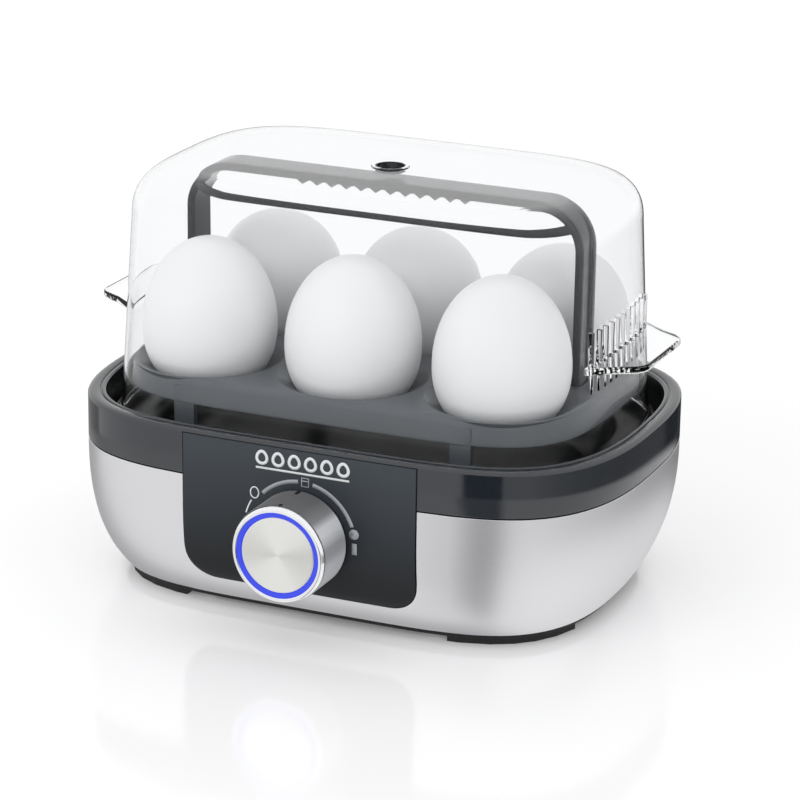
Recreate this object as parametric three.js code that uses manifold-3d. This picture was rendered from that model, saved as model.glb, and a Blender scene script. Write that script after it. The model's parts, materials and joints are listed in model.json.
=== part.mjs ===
// Electric egg cooker for six eggs: a steel housing with a dial, a heating dish, a lift-out egg
// carrier with a handle, and a clear steam lid.
// Millimetres, +Z up, +X to the right, and the dial faces -Y. The origin is on the table, under the
// middle of the whole object. Pieces are drawn about the housing's own middle, and one group moves
// them all back by HOUSING_BACK, because the dial sticks out at the front.

import * as THREE from 'three';
import { mergeVertices } from 'three/addons/utils/BufferGeometryUtils.js';
import Module from 'manifold-3d';

const wasm = await Module();
wasm.setup();
const { Manifold, Mesh: SolidMesh } = wasm;

// ---- Driving dimensions ----

const GAP = 0.3;                       // clearance between neighbouring pieces
const OUTLINE_STEPS = 10;              // segments in a quarter of an oval outline

// Housing: every level is an oval |x / a|^p + |y / b|^q = 1
const HOUSING_A = 94.3;                // half-length of the collar
const HOUSING_B = 67.8;                // half-width of the collar
const HOUSING_POWERS = [4.85, 2.68];
const INNER_POWERS = [5.4, 3.2];       // the lid and carrier are a little squarer
const COLLAR_BOTTOM = 47.1;
const COLLAR_TOP = 62.3;
const SHELL_BOTTOM = 3.2;
const SHELL_WALL = 1;
const TUCK_HEIGHT = 45.1;              // the shell curves inward over this height
const END_TUCK = 12.1;                 // how far the ends curve in, and how sharply
const END_TUCK_POWER = 2.45;
const SIDE_TUCK = 12.2;
const SIDE_TUCK_POWER = 4.2;
const LEDGE_TOP = 50;                  // shelf inside the collar that carries the dish
const LEDGE_THICKNESS = 2;
const LEDGE_INSET = 16.6;

// Control panel and dial
const PANEL_HALF_WIDTH = 40.2;
const PANEL_BOTTOM = 12;
const PANEL_TOP = 60.8;
const PANEL_CORNER = 10;
const PANEL_PROUD = 0.3;
const PANEL_DEPTH = 2.5;
const DIAL_X = 1.5;                    // the dial sits just right of the panel's middle
const DIAL_HEIGHT = 32.2;
const DIAL_RADIUS = 16;
const DIAL_LENGTH = 17.7;
const RING_RADIUS = 14.5;              // outside of the light ring
const BUTTON_RADIUS = 12.4;
const CORE_RADIUS = 8.3;
const GUIDE_RADIUS = 10.2;              // the light guide's stem, behind its ring
const HUB_RADIUS = 11.4;
const WHEEL_RADIUS = 15;
const WHEEL_REAR = -6.4;
const BOARD_FRONT = -8.9;              // measured out from the panel's face, so negative is inside

// Base
const PLATE_BOTTOM = 1.6;
const PLATE_TOP = 4.6;
const PLATE_A = 81.2;
const PLATE_B = 55.2;
const FOOT_TOP = 2.5;
const FOOT_PROUD = 0.4;                // beyond the plate's edge, so the feet show under the corners
const FOOT_INSET = 10;                 // the pad's inner edge, in from the plate's edge
const PILLAR = { x: 40, y: 50.2, radius: 3.2 };
const SHIELD_POST = { x: 46, y: 22 };
const SHIELD_BOTTOM = 20;
const BOARD_CENTRE_Y = 10;
const DISH_FLANGE_TOP = 52.2;
const STUD_X = 42;
const GLAND = { x: 45, z: 28, proud: 1.5 };

// Egg carrier
const CARRIER_A = 80.2;
const CARRIER_B = 53;
const CARRIER_TOP = 73.5;
const CARRIER_SKIRT = 65;
const SEAT_PITCH = { x: 51.3, y: 52.4 };
const SEAT_RADIUS = 24.4;
const SEAT_HOLE = 16.4;
const HANDLE_WIDTH = 12.4;
const HANDLE_OUTER_X = 69.9;
const HANDLE_TOP = 132.6;
const HANDLE_BEND = 15.5;
const HANDLE_THICKNESS = 2.8;
const HOOK_WIDTH = 7.6;
const BAR_HEIGHT = 123.8;              // the slim bar in front of the band
const BAR_REACH = 6.8;

// Lid
const LID_TOP = 136.4;
const LID_WALL = 1.6;
const LID_EDGE = 15.6;
const LID_BOTTOM = 52.7;
const LID_RIM_A = 86.8;
const GRIP_TOP = 87.6;
const GRIP_THICKNESS = 2.4;
const GRIP_OUTER_X = 96.4;
const GRIP_ROOT = 28.5;                // half-width of a grip at the wall, and at its outer end
const GRIP_END = 19;
const RIB_COUNT = 11;
const RIB_PITCH = 4.8;
const RIB_PROUD = 1.1;
const VENT = { radius: 5, y: 1.5 };

// The whole object spans from the dial's face to the back of the cord gland.
const HOUSING_BACK = (PANEL_PROUD + DIAL_LENGTH - GLAND.proud) / 2;

// ---- Materials ----

function finish(color, roughness, metalness, extra = {}) {
  return new THREE.MeshStandardMaterial({ color, roughness, metalness, ...extra });
}

const steel = finish(0xc9cacc, 0.35, 1);
const darkPlastic = finish(0x4a4f54, 0.38, 0);
const blackPlastic = finish(0x1a1b1d, 0.55, 0);
const rubber = finish(0x141414, 0.9, 0);
const silicone = finish(0xb8b4ab, 0.7, 0);
const nonStick = finish(0x202225, 0.5, 0.3);
const greyPlastic = finish(0x7a7f83, 0.42, 0);
const handlePlastic = finish(0x4d5256, 0.4, 0);
const clearPlastic = finish(0xf4f7f9, 0.05, 0, { transparent: true, opacity: 0.3 });
const chrome = finish(0xe4e6e8, 0.12, 1);
const aluminium = finish(0xdadad6, 0.3, 1);
const glowBlue = finish(0x2f45f0, 0.3, 0, { emissive: 0x2f45f0 });
const boardGreen = finish(0x1f5a3a, 0.6, 0);
const darkSheath = finish(0x4d4c4a, 0.5, 0.9);

// ---- Solids ----

// Turns a three.js geometry into a closed solid with its faces pointing out.
function toSolid(geometry) {
  let source = geometry;
  if (source.attributes.normal || !source.index) {
    source = source.clone();
    source.deleteAttribute('normal');
    source.deleteAttribute('uv');
    source = mergeVertices(source);
  }
  const corners = source.attributes.position.array;
  const index = source.index.array;
  const triangles = [];
  let volume = 0;
  for (let i = 0; i < index.length; i += 3) {
    const [a, b, c] = [index[i], index[i + 1], index[i + 2]];
    if (a === b || b === c || a === c) continue;
    triangles.push(a, b, c);
    const [p, q, r] = [a, b, c].map((k) => new THREE.Vector3().fromArray(corners, 3 * k));
    volume += p.dot(q.cross(r));
  }
  if (volume < 0) triangles.reverse();
  return new Manifold(new SolidMesh({
    numProp: 3,
    vertProperties: new Float32Array(corners),
    triVerts: new Uint32Array(triangles),
  }));
}

function toGeometry(solid) {
  const mesh = solid.getMesh();
  const geometry = new THREE.BufferGeometry();
  geometry.setAttribute('position', new THREE.BufferAttribute(new Float32Array(mesh.vertProperties), 3));
  geometry.setIndex(new THREE.BufferAttribute(new Uint32Array(mesh.triVerts), 1));
  return geometry;
}

function join(...geometries) {
  return toGeometry(geometries.map(toSolid).reduce((whole, piece) => whole.add(piece)));
}

function cut(geometry, ...tools) {
  return toGeometry(tools.map(toSolid).reduce((whole, tool) => whole.subtract(tool), toSolid(geometry)));
}

function common(first, second) {
  return toGeometry(toSolid(first).intersect(toSolid(second)));
}

// ---- Shapes ----

function box(x0, x1, y0, y1, z0, z1) {
  return new THREE.BoxGeometry(x1 - x0, y1 - y0, z1 - z0).translate((x0 + x1) / 2, (y0 + y1) / 2, (z0 + z1) / 2);
}

function cylinder(radius, z0, z1, x = 0, y = 0, segments = 20) {
  return new THREE.CylinderGeometry(radius, radius, z1 - z0, segments)
    .rotateX(Math.PI / 2)
    .translate(x, y, (z0 + z1) / 2);
}

// A round piece about Z from [radius, height] rows. A row list off the axis closes on itself.
function turned(rows, segments) {
  const closed = rows[0][0] > 0;
  const points = (closed ? [...rows, rows[0]] : rows).map(([radius, height]) => new THREE.Vector2(radius, height));
  return new THREE.LatheGeometry(points, segments).rotateX(Math.PI / 2);
}

// The same, about the dial's axis: rows are [radius, distance out from the panel's face].
function turnedOnDial(rows, segments) {
  return turned(rows, segments)
    .rotateX(Math.PI / 2)
    .translate(DIAL_X, -(HOUSING_B + PANEL_PROUD), DIAL_HEIGHT);
}

// A flat outline drawn in x and z, given thickness from y0 back to y1.
function uprightPlate(shape, y0, y1, curveSegments = 6) {
  return new THREE.ExtrudeGeometry(shape, { depth: y1 - y0, bevelEnabled: false, curveSegments })
    .rotateX(Math.PI / 2)
    .translate(0, y1, 0);
}

function ovalPoint(angle, a, b, powers) {
  const c = Math.cos(angle);
  const s = Math.sin(angle);
  return [
    a * Math.sign(c) * Math.abs(c) ** (2 / powers[0]),
    b * Math.sign(s) * Math.abs(s) ** (2 / powers[1]),
  ];
}

// Angles for ovalPoint that space its points evenly, with more of them where the outline turns.
function ovalAngles() {
  const fine = 4000;
  const turnWeight = 60;
  const samples = [];
  let total = 0;
  for (let i = 0; i <= fine; i++) {
    const x = HOUSING_A * Math.sin((Math.PI / 2) * (i / fine));
    const share = 1 - (x / HOUSING_A) ** HOUSING_POWERS[0];
    const y = HOUSING_B * share ** (1 / HOUSING_POWERS[1]);
    const angle = Math.atan2(Math.sqrt(share), Math.sqrt(1 - share));
    const last = samples[samples.length - 1];
    const heading = last ? Math.atan2(y - last.y, x - last.x) : 0;
    if (last) {
      const turn = samples.length > 1 ? Math.abs(heading - last.heading) : 0;
      total += Math.hypot(x - last.x, y - last.y) + turnWeight * turn;
    }
    samples.push({ x, y, angle, heading, total });
  }
  const quarter = [];
  for (let i = 0; i < OUTLINE_STEPS; i++) {
    quarter.push(samples.find((sample) => sample.total >= (total * i) / OUTLINE_STEPS).angle);
  }
  const half = [...quarter, ...quarter.slice(1).reverse().map((angle) => -angle), -Math.PI / 2];
  half.splice(OUTLINE_STEPS, 0, 0);
  return [...half.slice(0, -1), ...half.slice(0, -1).map((angle) => angle - Math.PI)];
}

const OVAL_ANGLES = ovalAngles();

// An oval piece about Z from rows { a, b, z, powers }, which close on themselves unless they start on
// the axis. It is a lathe piece whose round sections are reshaped into ovals.
function oval(rows) {
  const closed = rows[0].a > 0;
  const profile = closed ? [...rows, rows[0]] : rows;
  const segments = OVAL_ANGLES.length;
  const geometry = new THREE.LatheGeometry(profile.map(({ a, z }) => new THREE.Vector2(a, z)), segments);
  const position = geometry.attributes.position;
  for (let i = 0; i <= segments; i++) {
    const angle = OVAL_ANGLES[i % segments];
    profile.forEach(({ a, b, z, powers }, j) => {
      const [x, y] = ovalPoint(angle, a, b, powers);
      position.setXYZ(i * profile.length + j, x, y, z);
    });
  }
  return geometry;
}

// One level of the housing's outline, moved in by inset.
function housingRow(inset, z) {
  const tuck = Math.max(0, (COLLAR_BOTTOM - z) / TUCK_HEIGHT);
  return {
    a: HOUSING_A - END_TUCK * tuck ** END_TUCK_POWER - inset,
    b: HOUSING_B - SIDE_TUCK * tuck ** SIDE_TUCK_POWER - inset,
    z,
    powers: HOUSING_POWERS,
  };
}

// A level inside the housing, given by its half-length. Near the middle it keeps its proportions.
function innerRow(a, z) {
  const near = 60;
  const difference = HOUSING_A - HOUSING_B;
  const b = a >= near ? a - difference : (a * (near - difference)) / near;
  return { a, b, z, powers: HOUSING_POWERS };
}

function plateRow(inset, z) {
  return { a: PLATE_A - inset, b: PLATE_B - inset, z, powers: HOUSING_POWERS };
}

function carrierRow(a, z) {
  return { a, b: Math.max(0, a - (CARRIER_A - CARRIER_B)), z, powers: INNER_POWERS };
}

function tube(points, radius, sides, steps) {
  const circle = new THREE.Shape();
  for (let i = 0; i < sides; i++) {
    const angle = (2 * Math.PI * i) / sides;
    const corner = [radius * Math.cos(angle), radius * Math.sin(angle)];
    if (i === 0) circle.moveTo(...corner);
    else circle.lineTo(...corner);
  }
  circle.closePath();
  const curve = new THREE.CatmullRomCurve3(points.map((point) => new THREE.Vector3(...point)));
  return new THREE.ExtrudeGeometry(circle, { extrudePath: curve, steps, bevelEnabled: false });
}

// ---- Assembly ----

const cooker = new THREE.Group();
const housing = new THREE.Group();
housing.position.y = HOUSING_BACK;
cooker.add(housing);

function place(name, geometry, material) {
  const plain = toGeometry(toSolid(geometry));
  plain.computeVertexNormals();
  const mesh = new THREE.Mesh(plain, material);
  mesh.name = name;
  housing.add(mesh);
  return mesh;
}

const CORNERS = [
  ['front_left', -1, -1],
  ['front_right', 1, -1],
  ['rear_left', -1, 1],
  ['rear_right', 1, 1],
];

// The front opening's outline in x and z: square at the top, rounded at the two lower corners.
function panelOutline(grow, top) {
  const half = PANEL_HALF_WIDTH + grow;
  const bottom = PANEL_BOTTOM - grow;
  const corner = PANEL_CORNER + grow;
  const shape = new THREE.Shape();
  shape.moveTo(-half, top);
  shape.lineTo(-half, bottom + corner);
  shape.absarc(-half + corner, bottom + corner, corner, Math.PI, 1.5 * Math.PI);
  shape.absarc(half - corner, bottom + corner, corner, -0.5 * Math.PI, 0);
  shape.lineTo(half, top);
  return shape;
}

function frontSlab(grow, top) {
  return uprightPlate(panelOutline(grow, top), -HOUSING_B - 10, -HOUSING_B + 25);
}

function buildShell() {
  const levels = [SHELL_BOTTOM, 5.5, 9, 14, 21, 31, COLLAR_BOTTOM - GAP];
  const outside = levels.map((z) => housingRow(0, z));
  const inside = levels.map((z) => housingRow(SHELL_WALL, z)).reverse();
  const glandHole = cylinder(4.4, 0, 30, 0, 0, 16).rotateX(-Math.PI / 2).translate(GLAND.x, HOUSING_B - 20, GLAND.z);
  place('steel_shell', cut(oval([...outside, ...inside]), frontSlab(GAP, COLLAR_TOP), glandHole), steel);
}

function buildCollar() {
  const lip = COLLAR_TOP - 0.2;
  const underLedge = LEDGE_TOP - LEDGE_THICKNESS;
  const skirtBottom = COLLAR_BOTTOM - 5.6;
  const skirtOuter = SHELL_WALL + GAP + 0.1;
  const skirtInner = skirtOuter + 1.9;
  const rows = [
    [0, COLLAR_BOTTOM], [0, COLLAR_TOP - 1.2], [1.2, COLLAR_TOP], [4.7, lip], [5.3, lip - 0.6],
    [6.3, LEDGE_TOP], [LEDGE_INSET, LEDGE_TOP], [LEDGE_INSET, underLedge], [skirtInner, underLedge],
  ].map(([inset, z]) => housingRow(inset, z));
  // The skirt hangs straight down inside the shell from the collar's own outline.
  const straight = (inset, z) => ({ ...housingRow(inset, COLLAR_BOTTOM), z });
  const skirt = [
    straight(skirtInner + 0.3, skirtBottom), straight(skirtOuter + 0.3, skirtBottom),
    straight(skirtOuter, COLLAR_BOTTOM),
  ];
  const body = oval([...rows, ...skirt]);
  const pillars = CORNERS.map(([, sx, sy]) => (
    cylinder(PILLAR.radius, PLATE_TOP + GAP, underLedge + 0.5, sx * PILLAR.x, sy * PILLAR.y, 12)
  ));
  const bores = CORNERS.map(([, sx, sy]) => (
    cylinder(1.5, PLATE_TOP, PLATE_TOP + 11, sx * PILLAR.x, sy * PILLAR.y, 10)
  ));
  const front = (inset, z) => ({ ...housingRow(inset, COLLAR_BOTTOM), z });
  const recess = oval([
    front(-2, 30), front(-2, 70), front(PANEL_DEPTH, 70), front(PANEL_DEPTH, underLedge),
    front(skirtInner + 2, underLedge - 0.4), front(skirtInner + 2, 30),
  ]);
  const panelRecess = common(recess, frontSlab(GAP, PANEL_TOP + GAP));
  place('top_collar', cut(join(body, ...pillars), ...bores, panelRecess), darkPlastic);
}

function buildPanel() {
  const levels = [PANEL_BOTTOM - 2, 17, 24, 34, PANEL_TOP + 2];
  const outside = levels.map((z) => housingRow(-PANEL_PROUD, z));
  const inside = levels.map((z) => housingRow(PANEL_DEPTH - PANEL_PROUD, z)).reverse();
  const skin = common(oval([...outside, ...inside]), frontSlab(0, PANEL_TOP));
  const hole = HUB_RADIUS + GAP;
  const dialHole = turnedOnDial([[0, -8], [hole, -8], [hole, 4], [0, 4]], 28);
  const face = -(HOUSING_B + PANEL_PROUD);
  const bosses = [-27, 27].flatMap((x) => [18, 43].map((z) => (
    cylinder(2.4, 0, 6, 0, 0, 12).rotateX(-Math.PI / 2).translate(x, face + 2, z)
  )));
  const bores = [-27, 27].flatMap((x) => [18, 43].map((z) => (
    cylinder(1.2, 0, 5, 0, 0, 8).rotateX(-Math.PI / 2).translate(x, face + 4, z)
  )));
  place('control_panel', cut(join(skin, ...bosses), dialHole, ...bores), darkPlastic);
}

function buildBottomPlate() {
  const row = plateRow;
  const middle = (z) => ({ a: 0, b: 0, z, powers: HOUSING_POWERS });
  const plate = oval([
    middle(PLATE_BOTTOM), row(1.2, PLATE_BOTTOM), row(0, PLATE_BOTTOM + 1.2), row(0, PLATE_TOP), middle(PLATE_TOP),
  ]);
  const shieldPosts = CORNERS.map(([, sx, sy]) => (
    cylinder(3, PLATE_TOP - 1, SHIELD_BOTTOM - GAP, sx * SHIELD_POST.x, sy * SHIELD_POST.y, 12)
  ));
  const boardPosts = CORNERS.map(([, sx, sy]) => (
    cylinder(2.2, PLATE_TOP - 1, 8.7, sx * 30, BOARD_CENTRE_Y + sy * 15, 10)
  ));
  const slots = [];
  for (const side of [-1, 1]) {
    for (let i = 0; i < 5; i++) {
      const x = side * (12 + 7 * i);
      slots.push(box(x - 1.4, x + 1.4, -36, -14, 0, PLATE_TOP + 1));
    }
  }
  const screwHoles = CORNERS.flatMap(([, sx, sy]) => [
    cylinder(1.7, 0, PLATE_TOP + 1, sx * PILLAR.x, sy * PILLAR.y, 12),
    cylinder(3.3, 0, PLATE_BOTTOM + 1.6, sx * PILLAR.x, sy * PILLAR.y, 16),
  ]);
  const pockets = CORNERS.map(([, sx, sy]) => footPad(sx, sy, GAP, 0, FOOT_TOP + GAP));
  const whole = join(plate, ...shieldPosts, ...boardPosts);
  place('bottom_plate', cut(whole, ...slots, ...screwHoles, ...pockets), blackPlastic);
}

// A curved pad that follows the plate's outline round one corner.
function footPad(sx, sy, grow, z0, z1) {
  const [outer, inner] = [-FOOT_PROUD - grow, FOOT_INSET + grow];
  const ring = oval([plateRow(outer, z0), plateRow(outer, z1), plateRow(inner, z1), plateRow(inner, z0)]);
  const xs = [sx * (46 - grow), sx * (90 + grow)];
  const ys = [sy * (27 - grow), sy * 70];
  return common(ring, box(Math.min(...xs), Math.max(...xs), Math.min(...ys), Math.max(...ys), z0 - 1, z1 + 1));
}

function buildFeet() {
  for (const [corner, sx, sy] of CORNERS) {
    place(`foot_${corner}`, footPad(sx, sy, 0, 0, FOOT_TOP), rubber);
  }
}

// A cheese-head screw pointing up, with its head's underside at z = 0.
function screw(headRadius, headHeight, shankRadius, length) {
  return turned([[0, 0], [headRadius, 0], [headRadius, headHeight], [shankRadius, headHeight],
    [shankRadius, length], [0, length]], 8);
}

function buildScrews() {
  for (const [corner, sx, sy] of CORNERS) {
    const mesh = place(`housing_screw_${corner}`, screw(2.8, 1.1, 1.1, 12), steel);
    mesh.position.set(sx * PILLAR.x, sy * PILLAR.y, PLATE_BOTTOM + 0.2);
  }
  [-27, 27].forEach((x, i) => {
    const mesh = place(`board_screw_${i + 1}`, screw(2.2, 1.2, 0.9, 5), steel);
    mesh.rotation.x = Math.PI / 2;
    mesh.position.set(x, -(HOUSING_B + PANEL_PROUD) - BOARD_FRONT + 1.6 + 1.5, 43);
  });
}

function buildDish() {
  const top = DISH_FLANGE_TOP;
  const rows = [
    innerRow(0, 41.2), innerRow(40, 40.7), innerRow(62, 40.2), innerRow(67.3, 41.4), innerRow(72, top - 4),
    innerRow(75.4, top), innerRow(85.4, top), innerRow(85.4, top - 1), innerRow(76, top - 1),
    innerRow(70.8, top - 6), innerRow(68, 39.6), innerRow(61, 38.8), innerRow(0, 39.4),
  ];
  const studs = [-1, 1].map((side) => cylinder(1.5, 25.4, 39.8, side * STUD_X, 0, 10));
  place('heating_dish', join(oval(rows), ...studs), nonStick);
  const [low, high] = [LEDGE_TOP + GAP, DISH_FLANGE_TOP - 1 - GAP];
  place('dish_gasket', oval([innerRow(79, low), innerRow(79, high), innerRow(84.4, high), innerRow(84.4, low)]), silicone);
}

function buildHeater() {
  const loop = [[-9, 41, 24], [-9, 40.5, 29]];
  const turns = 16;
  for (let i = 0; i <= turns; i++) {
    const angle = Math.PI * (0.56 + (1.88 * i) / turns);
    const [x, y] = ovalPoint(angle, 56, 26, [3, 2.4]);
    loop.push([x, y, 34.5]);
  }
  loop.push([9, 40.5, 29], [9, 41, 24]);
  place('heating_element', tube(loop, 3.1, 6, 44), darkSheath);
  const bar = box(-62, 62, -11, 11, 29, 30.2);
  const holes = [
    cylinder(8.8, 28, 31, 0, 0, 24), ...[-1, 1].map((side) => cylinder(1.9, 28, 31, side * STUD_X, 0, 10)),
  ];
  place('element_clamp', cut(bar, ...holes), steel);
  [-1, 1].forEach((side, i) => {
    const nut = cut(cylinder(3.2, 26.2, 28.7, 0, 0, 6), cylinder(1.8, 25, 30, 0, 0, 10));
    place(`clamp_nut_${i + 1}`, nut, steel).position.x = side * STUD_X;
  });
  const cap = turned([[0, 26], [5, 26], [5, 30.8], [8.4, 30.8], [8.4, 38.2], [0, 38.2]], 20);
  place('thermostat', cap, aluminium);
  place('thermal_fuse', cylinder(2.1, -6, 6, 0, 0, 12).rotateY(Math.PI / 2).translate(24, 0, 34.5), silicone);
  place('heat_shield', box(-52, 52, -28, 28, SHIELD_BOTTOM, SHIELD_BOTTOM + 0.8), steel);
}

function buildPowerBoard() {
  const top = 10.6;
  const rest = top + GAP;
  place('power_board', box(-34, 34, BOARD_CENTRE_Y - 19, BOARD_CENTRE_Y + 19, 9, top), boardGreen);
  place('power_relay', box(-26, -10, 2, 14, rest, 19), blackPlastic);
  place('power_capacitor', cylinder(4.5, rest, 19, 4, 6, 16), aluminium);
  place('power_terminals', box(12, 30, 14, 24, rest, 18.5), greyPlastic);
}

function buildGland() {
  const rows = [
    [2.4, -8], [5.2, -8], [5.2, -3.4], [4, -3.4], [4, -0.1], [5.4, -0.1], [4.8, GLAND.proud], [2.4, GLAND.proud],
  ];
  const gland = turned(rows, 16).rotateX(-Math.PI / 2);
  place('cord_gland', gland, rubber).position.set(GLAND.x, HOUSING_B, GLAND.z);
}

function buildDial() {
  const rim = DIAL_LENGTH;
  const ring = turnedOnDial([
    [HUB_RADIUS - 0.8, WHEEL_REAR], [HUB_RADIUS, WHEEL_REAR], [HUB_RADIUS, 0.8], [DIAL_RADIUS, 0.8],
    [DIAL_RADIUS, rim - 1.1], [DIAL_RADIUS - 1, rim], [RING_RADIUS + GAP, rim - 0.4], [RING_RADIUS + GAP, 3],
    [HUB_RADIUS - 0.8, 3],
  ], 32);
  const face = -(HOUSING_B + PANEL_PROUD);
  const pointer = box(DIAL_X - 0.7, DIAL_X + 0.7, face - rim - 1, face - rim + 2.6, DIAL_HEIGHT + 15.3, DIAL_HEIGHT + 17);
  place('dial_ring', cut(ring, pointer), chrome);

  const wheelFront = WHEEL_REAR + 1.2;
  const wheel = turnedOnDial([
    [HUB_RADIUS + GAP, WHEEL_REAR], [WHEEL_RADIUS, WHEEL_REAR], [WHEEL_RADIUS, wheelFront],
    [HUB_RADIUS + GAP, wheelFront],
  ], 24);
  const notches = [];
  for (let i = 0; i < 8; i++) {
    const notch = box(-1.2, 1.2, face, face + 8, WHEEL_RADIUS - 1.5, WHEEL_RADIUS + 2);
    notches.push(notch.rotateY((Math.PI * i) / 4).translate(DIAL_X, 0, DIAL_HEIGHT));
  }
  place('code_wheel', cut(wheel, ...notches), blackPlastic);

  const guide = turnedOnDial([
    [CORE_RADIUS + GAP, -7.3], [GUIDE_RADIUS, -7.3], [GUIDE_RADIUS, 3.4], [RING_RADIUS, 3.4],
    [RING_RADIUS, rim - 0.5], [BUTTON_RADIUS + GAP, rim - 0.5], [BUTTON_RADIUS + GAP, 13.4], [CORE_RADIUS + GAP, 13.4],
  ], 32);
  place('light_guide', guide, glowBlue);

  const core = turnedOnDial([
    [3.4, 5], [3.4, 13], [CORE_RADIUS, 13], [CORE_RADIUS, BOARD_FRONT + GAP], [5.6, BOARD_FRONT + GAP], [5.6, 5],
  ], 20);
  place('dial_core', core, blackPlastic);

  const button = turnedOnDial([
    [0, 2], [3, 2], [3, rim - 2.6], [BUTTON_RADIUS - 0.2, rim - 2.6], [BUTTON_RADIUS, rim - 2.4],
    [BUTTON_RADIUS, rim - 0.7], [BUTTON_RADIUS - 0.4, rim - 0.4], [0, rim - 0.4],
  ], 28);
  place('start_button', button, aluminium);
}

function buildControlBoard() {
  const face = -(HOUSING_B + PANEL_PROUD);
  const front = face - BOARD_FRONT;
  const holes = [-27, 27].map((x) => (
    cylinder(1.3, 0, 6, 0, 0, 10).rotateX(-Math.PI / 2).translate(x, front - 2, 43)
  ));
  place('control_board', cut(box(-33, 33, front, front + 1.6, 14, 46), ...holes), boardGreen);
  const seat = front - GAP;
  place('button_switch', box(-3.5, 3.5, face - 0.4, seat, -3.5, 3.5), blackPlastic)
    .position.set(DIAL_X, 0, DIAL_HEIGHT);
  place('position_sensor', box(-2.5, 2.5, face + 6.8, seat, -15.5, -12.5), blackPlastic)
    .position.set(DIAL_X, 0, DIAL_HEIGHT);
  for (let i = 0; i < 4; i++) {
    const angle = (Math.PI / 2) * (i + 0.5);
    const chip = box(-0.7, 0.7, seat - 0.9, seat, -0.7, 0.7);
    const mesh = place(`ring_lamp_${i + 1}`, chip, silicone);
    mesh.position.set(DIAL_X + 9.4 * Math.cos(angle), 0, DIAL_HEIGHT + 9.4 * Math.sin(angle));
  }
  const buzzer = cylinder(6, 0, 5, 0, 0, 20).rotateX(-Math.PI / 2);
  place('buzzer', buzzer, blackPlastic).position.set(20, front + 1.6 + GAP, 24);
}

function buildCarrier() {
  const top = CARRIER_TOP;
  const middle = (z) => ({ a: 0, b: 0, z, powers: INNER_POWERS });
  const tray = oval([
    middle(top), carrierRow(CARRIER_A - 4, top), carrierRow(CARRIER_A - 1.5, top - 0.9),
    carrierRow(CARRIER_A - 0.6, top - 2.6), carrierRow(CARRIER_A, CARRIER_SKIRT),
    carrierRow(CARRIER_A - 1.7, CARRIER_SKIRT), carrierRow(CARRIER_A - 2.3, top - 3.4),
    carrierRow(CARRIER_A - 3.4, top - 2), middle(top - 2),
  ]);
  const seats = [-1, 0, 1].flatMap((column) => [-1, 1].map((row) => (
    [column * SEAT_PITCH.x, (row * SEAT_PITCH.y) / 2]
  )));
  const cups = seats.map(([x, y]) => turned([
    [0, 67], [SEAT_HOLE + 1.8, 67], [SEAT_RADIUS - 0.6, top - 2.2], [SEAT_RADIUS + 0.4, top - 0.6],
    [0, top - 0.6],
  ], 16).translate(x, y, 0));
  const hollows = seats.map(([x, y]) => turned([
    [0, 60], [SEAT_HOLE, 60], [SEAT_HOLE, 68.6], [SEAT_RADIUS, top + 0.1], [SEAT_RADIUS, 80], [0, 80],
  ], 16).translate(x, y, 0));
  const legs = CORNERS.map(([, sx, sy]) => {
    const xs = [sx * 44.5, sx * 51.5];
    const ys = [sy * 49, sy * 51.4];
    return box(Math.min(...xs), Math.max(...xs), Math.min(...ys), Math.max(...ys), DISH_FLANGE_TOP + GAP, top - 3);
  });
  const slots = [-1, 1].map((side) => {
    const xs = [side * (HANDLE_OUTER_X + GAP), side * (HANDLE_OUTER_X - HANDLE_THICKNESS - GAP)];
    const half = HOOK_WIDTH / 2 + GAP;
    return box(Math.min(...xs), Math.max(...xs), -half, half, 60, 80);
  });
  place('egg_carrier', cut(join(tray, ...cups, ...legs), ...hollows, ...slots), greyPlastic);
}

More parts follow.
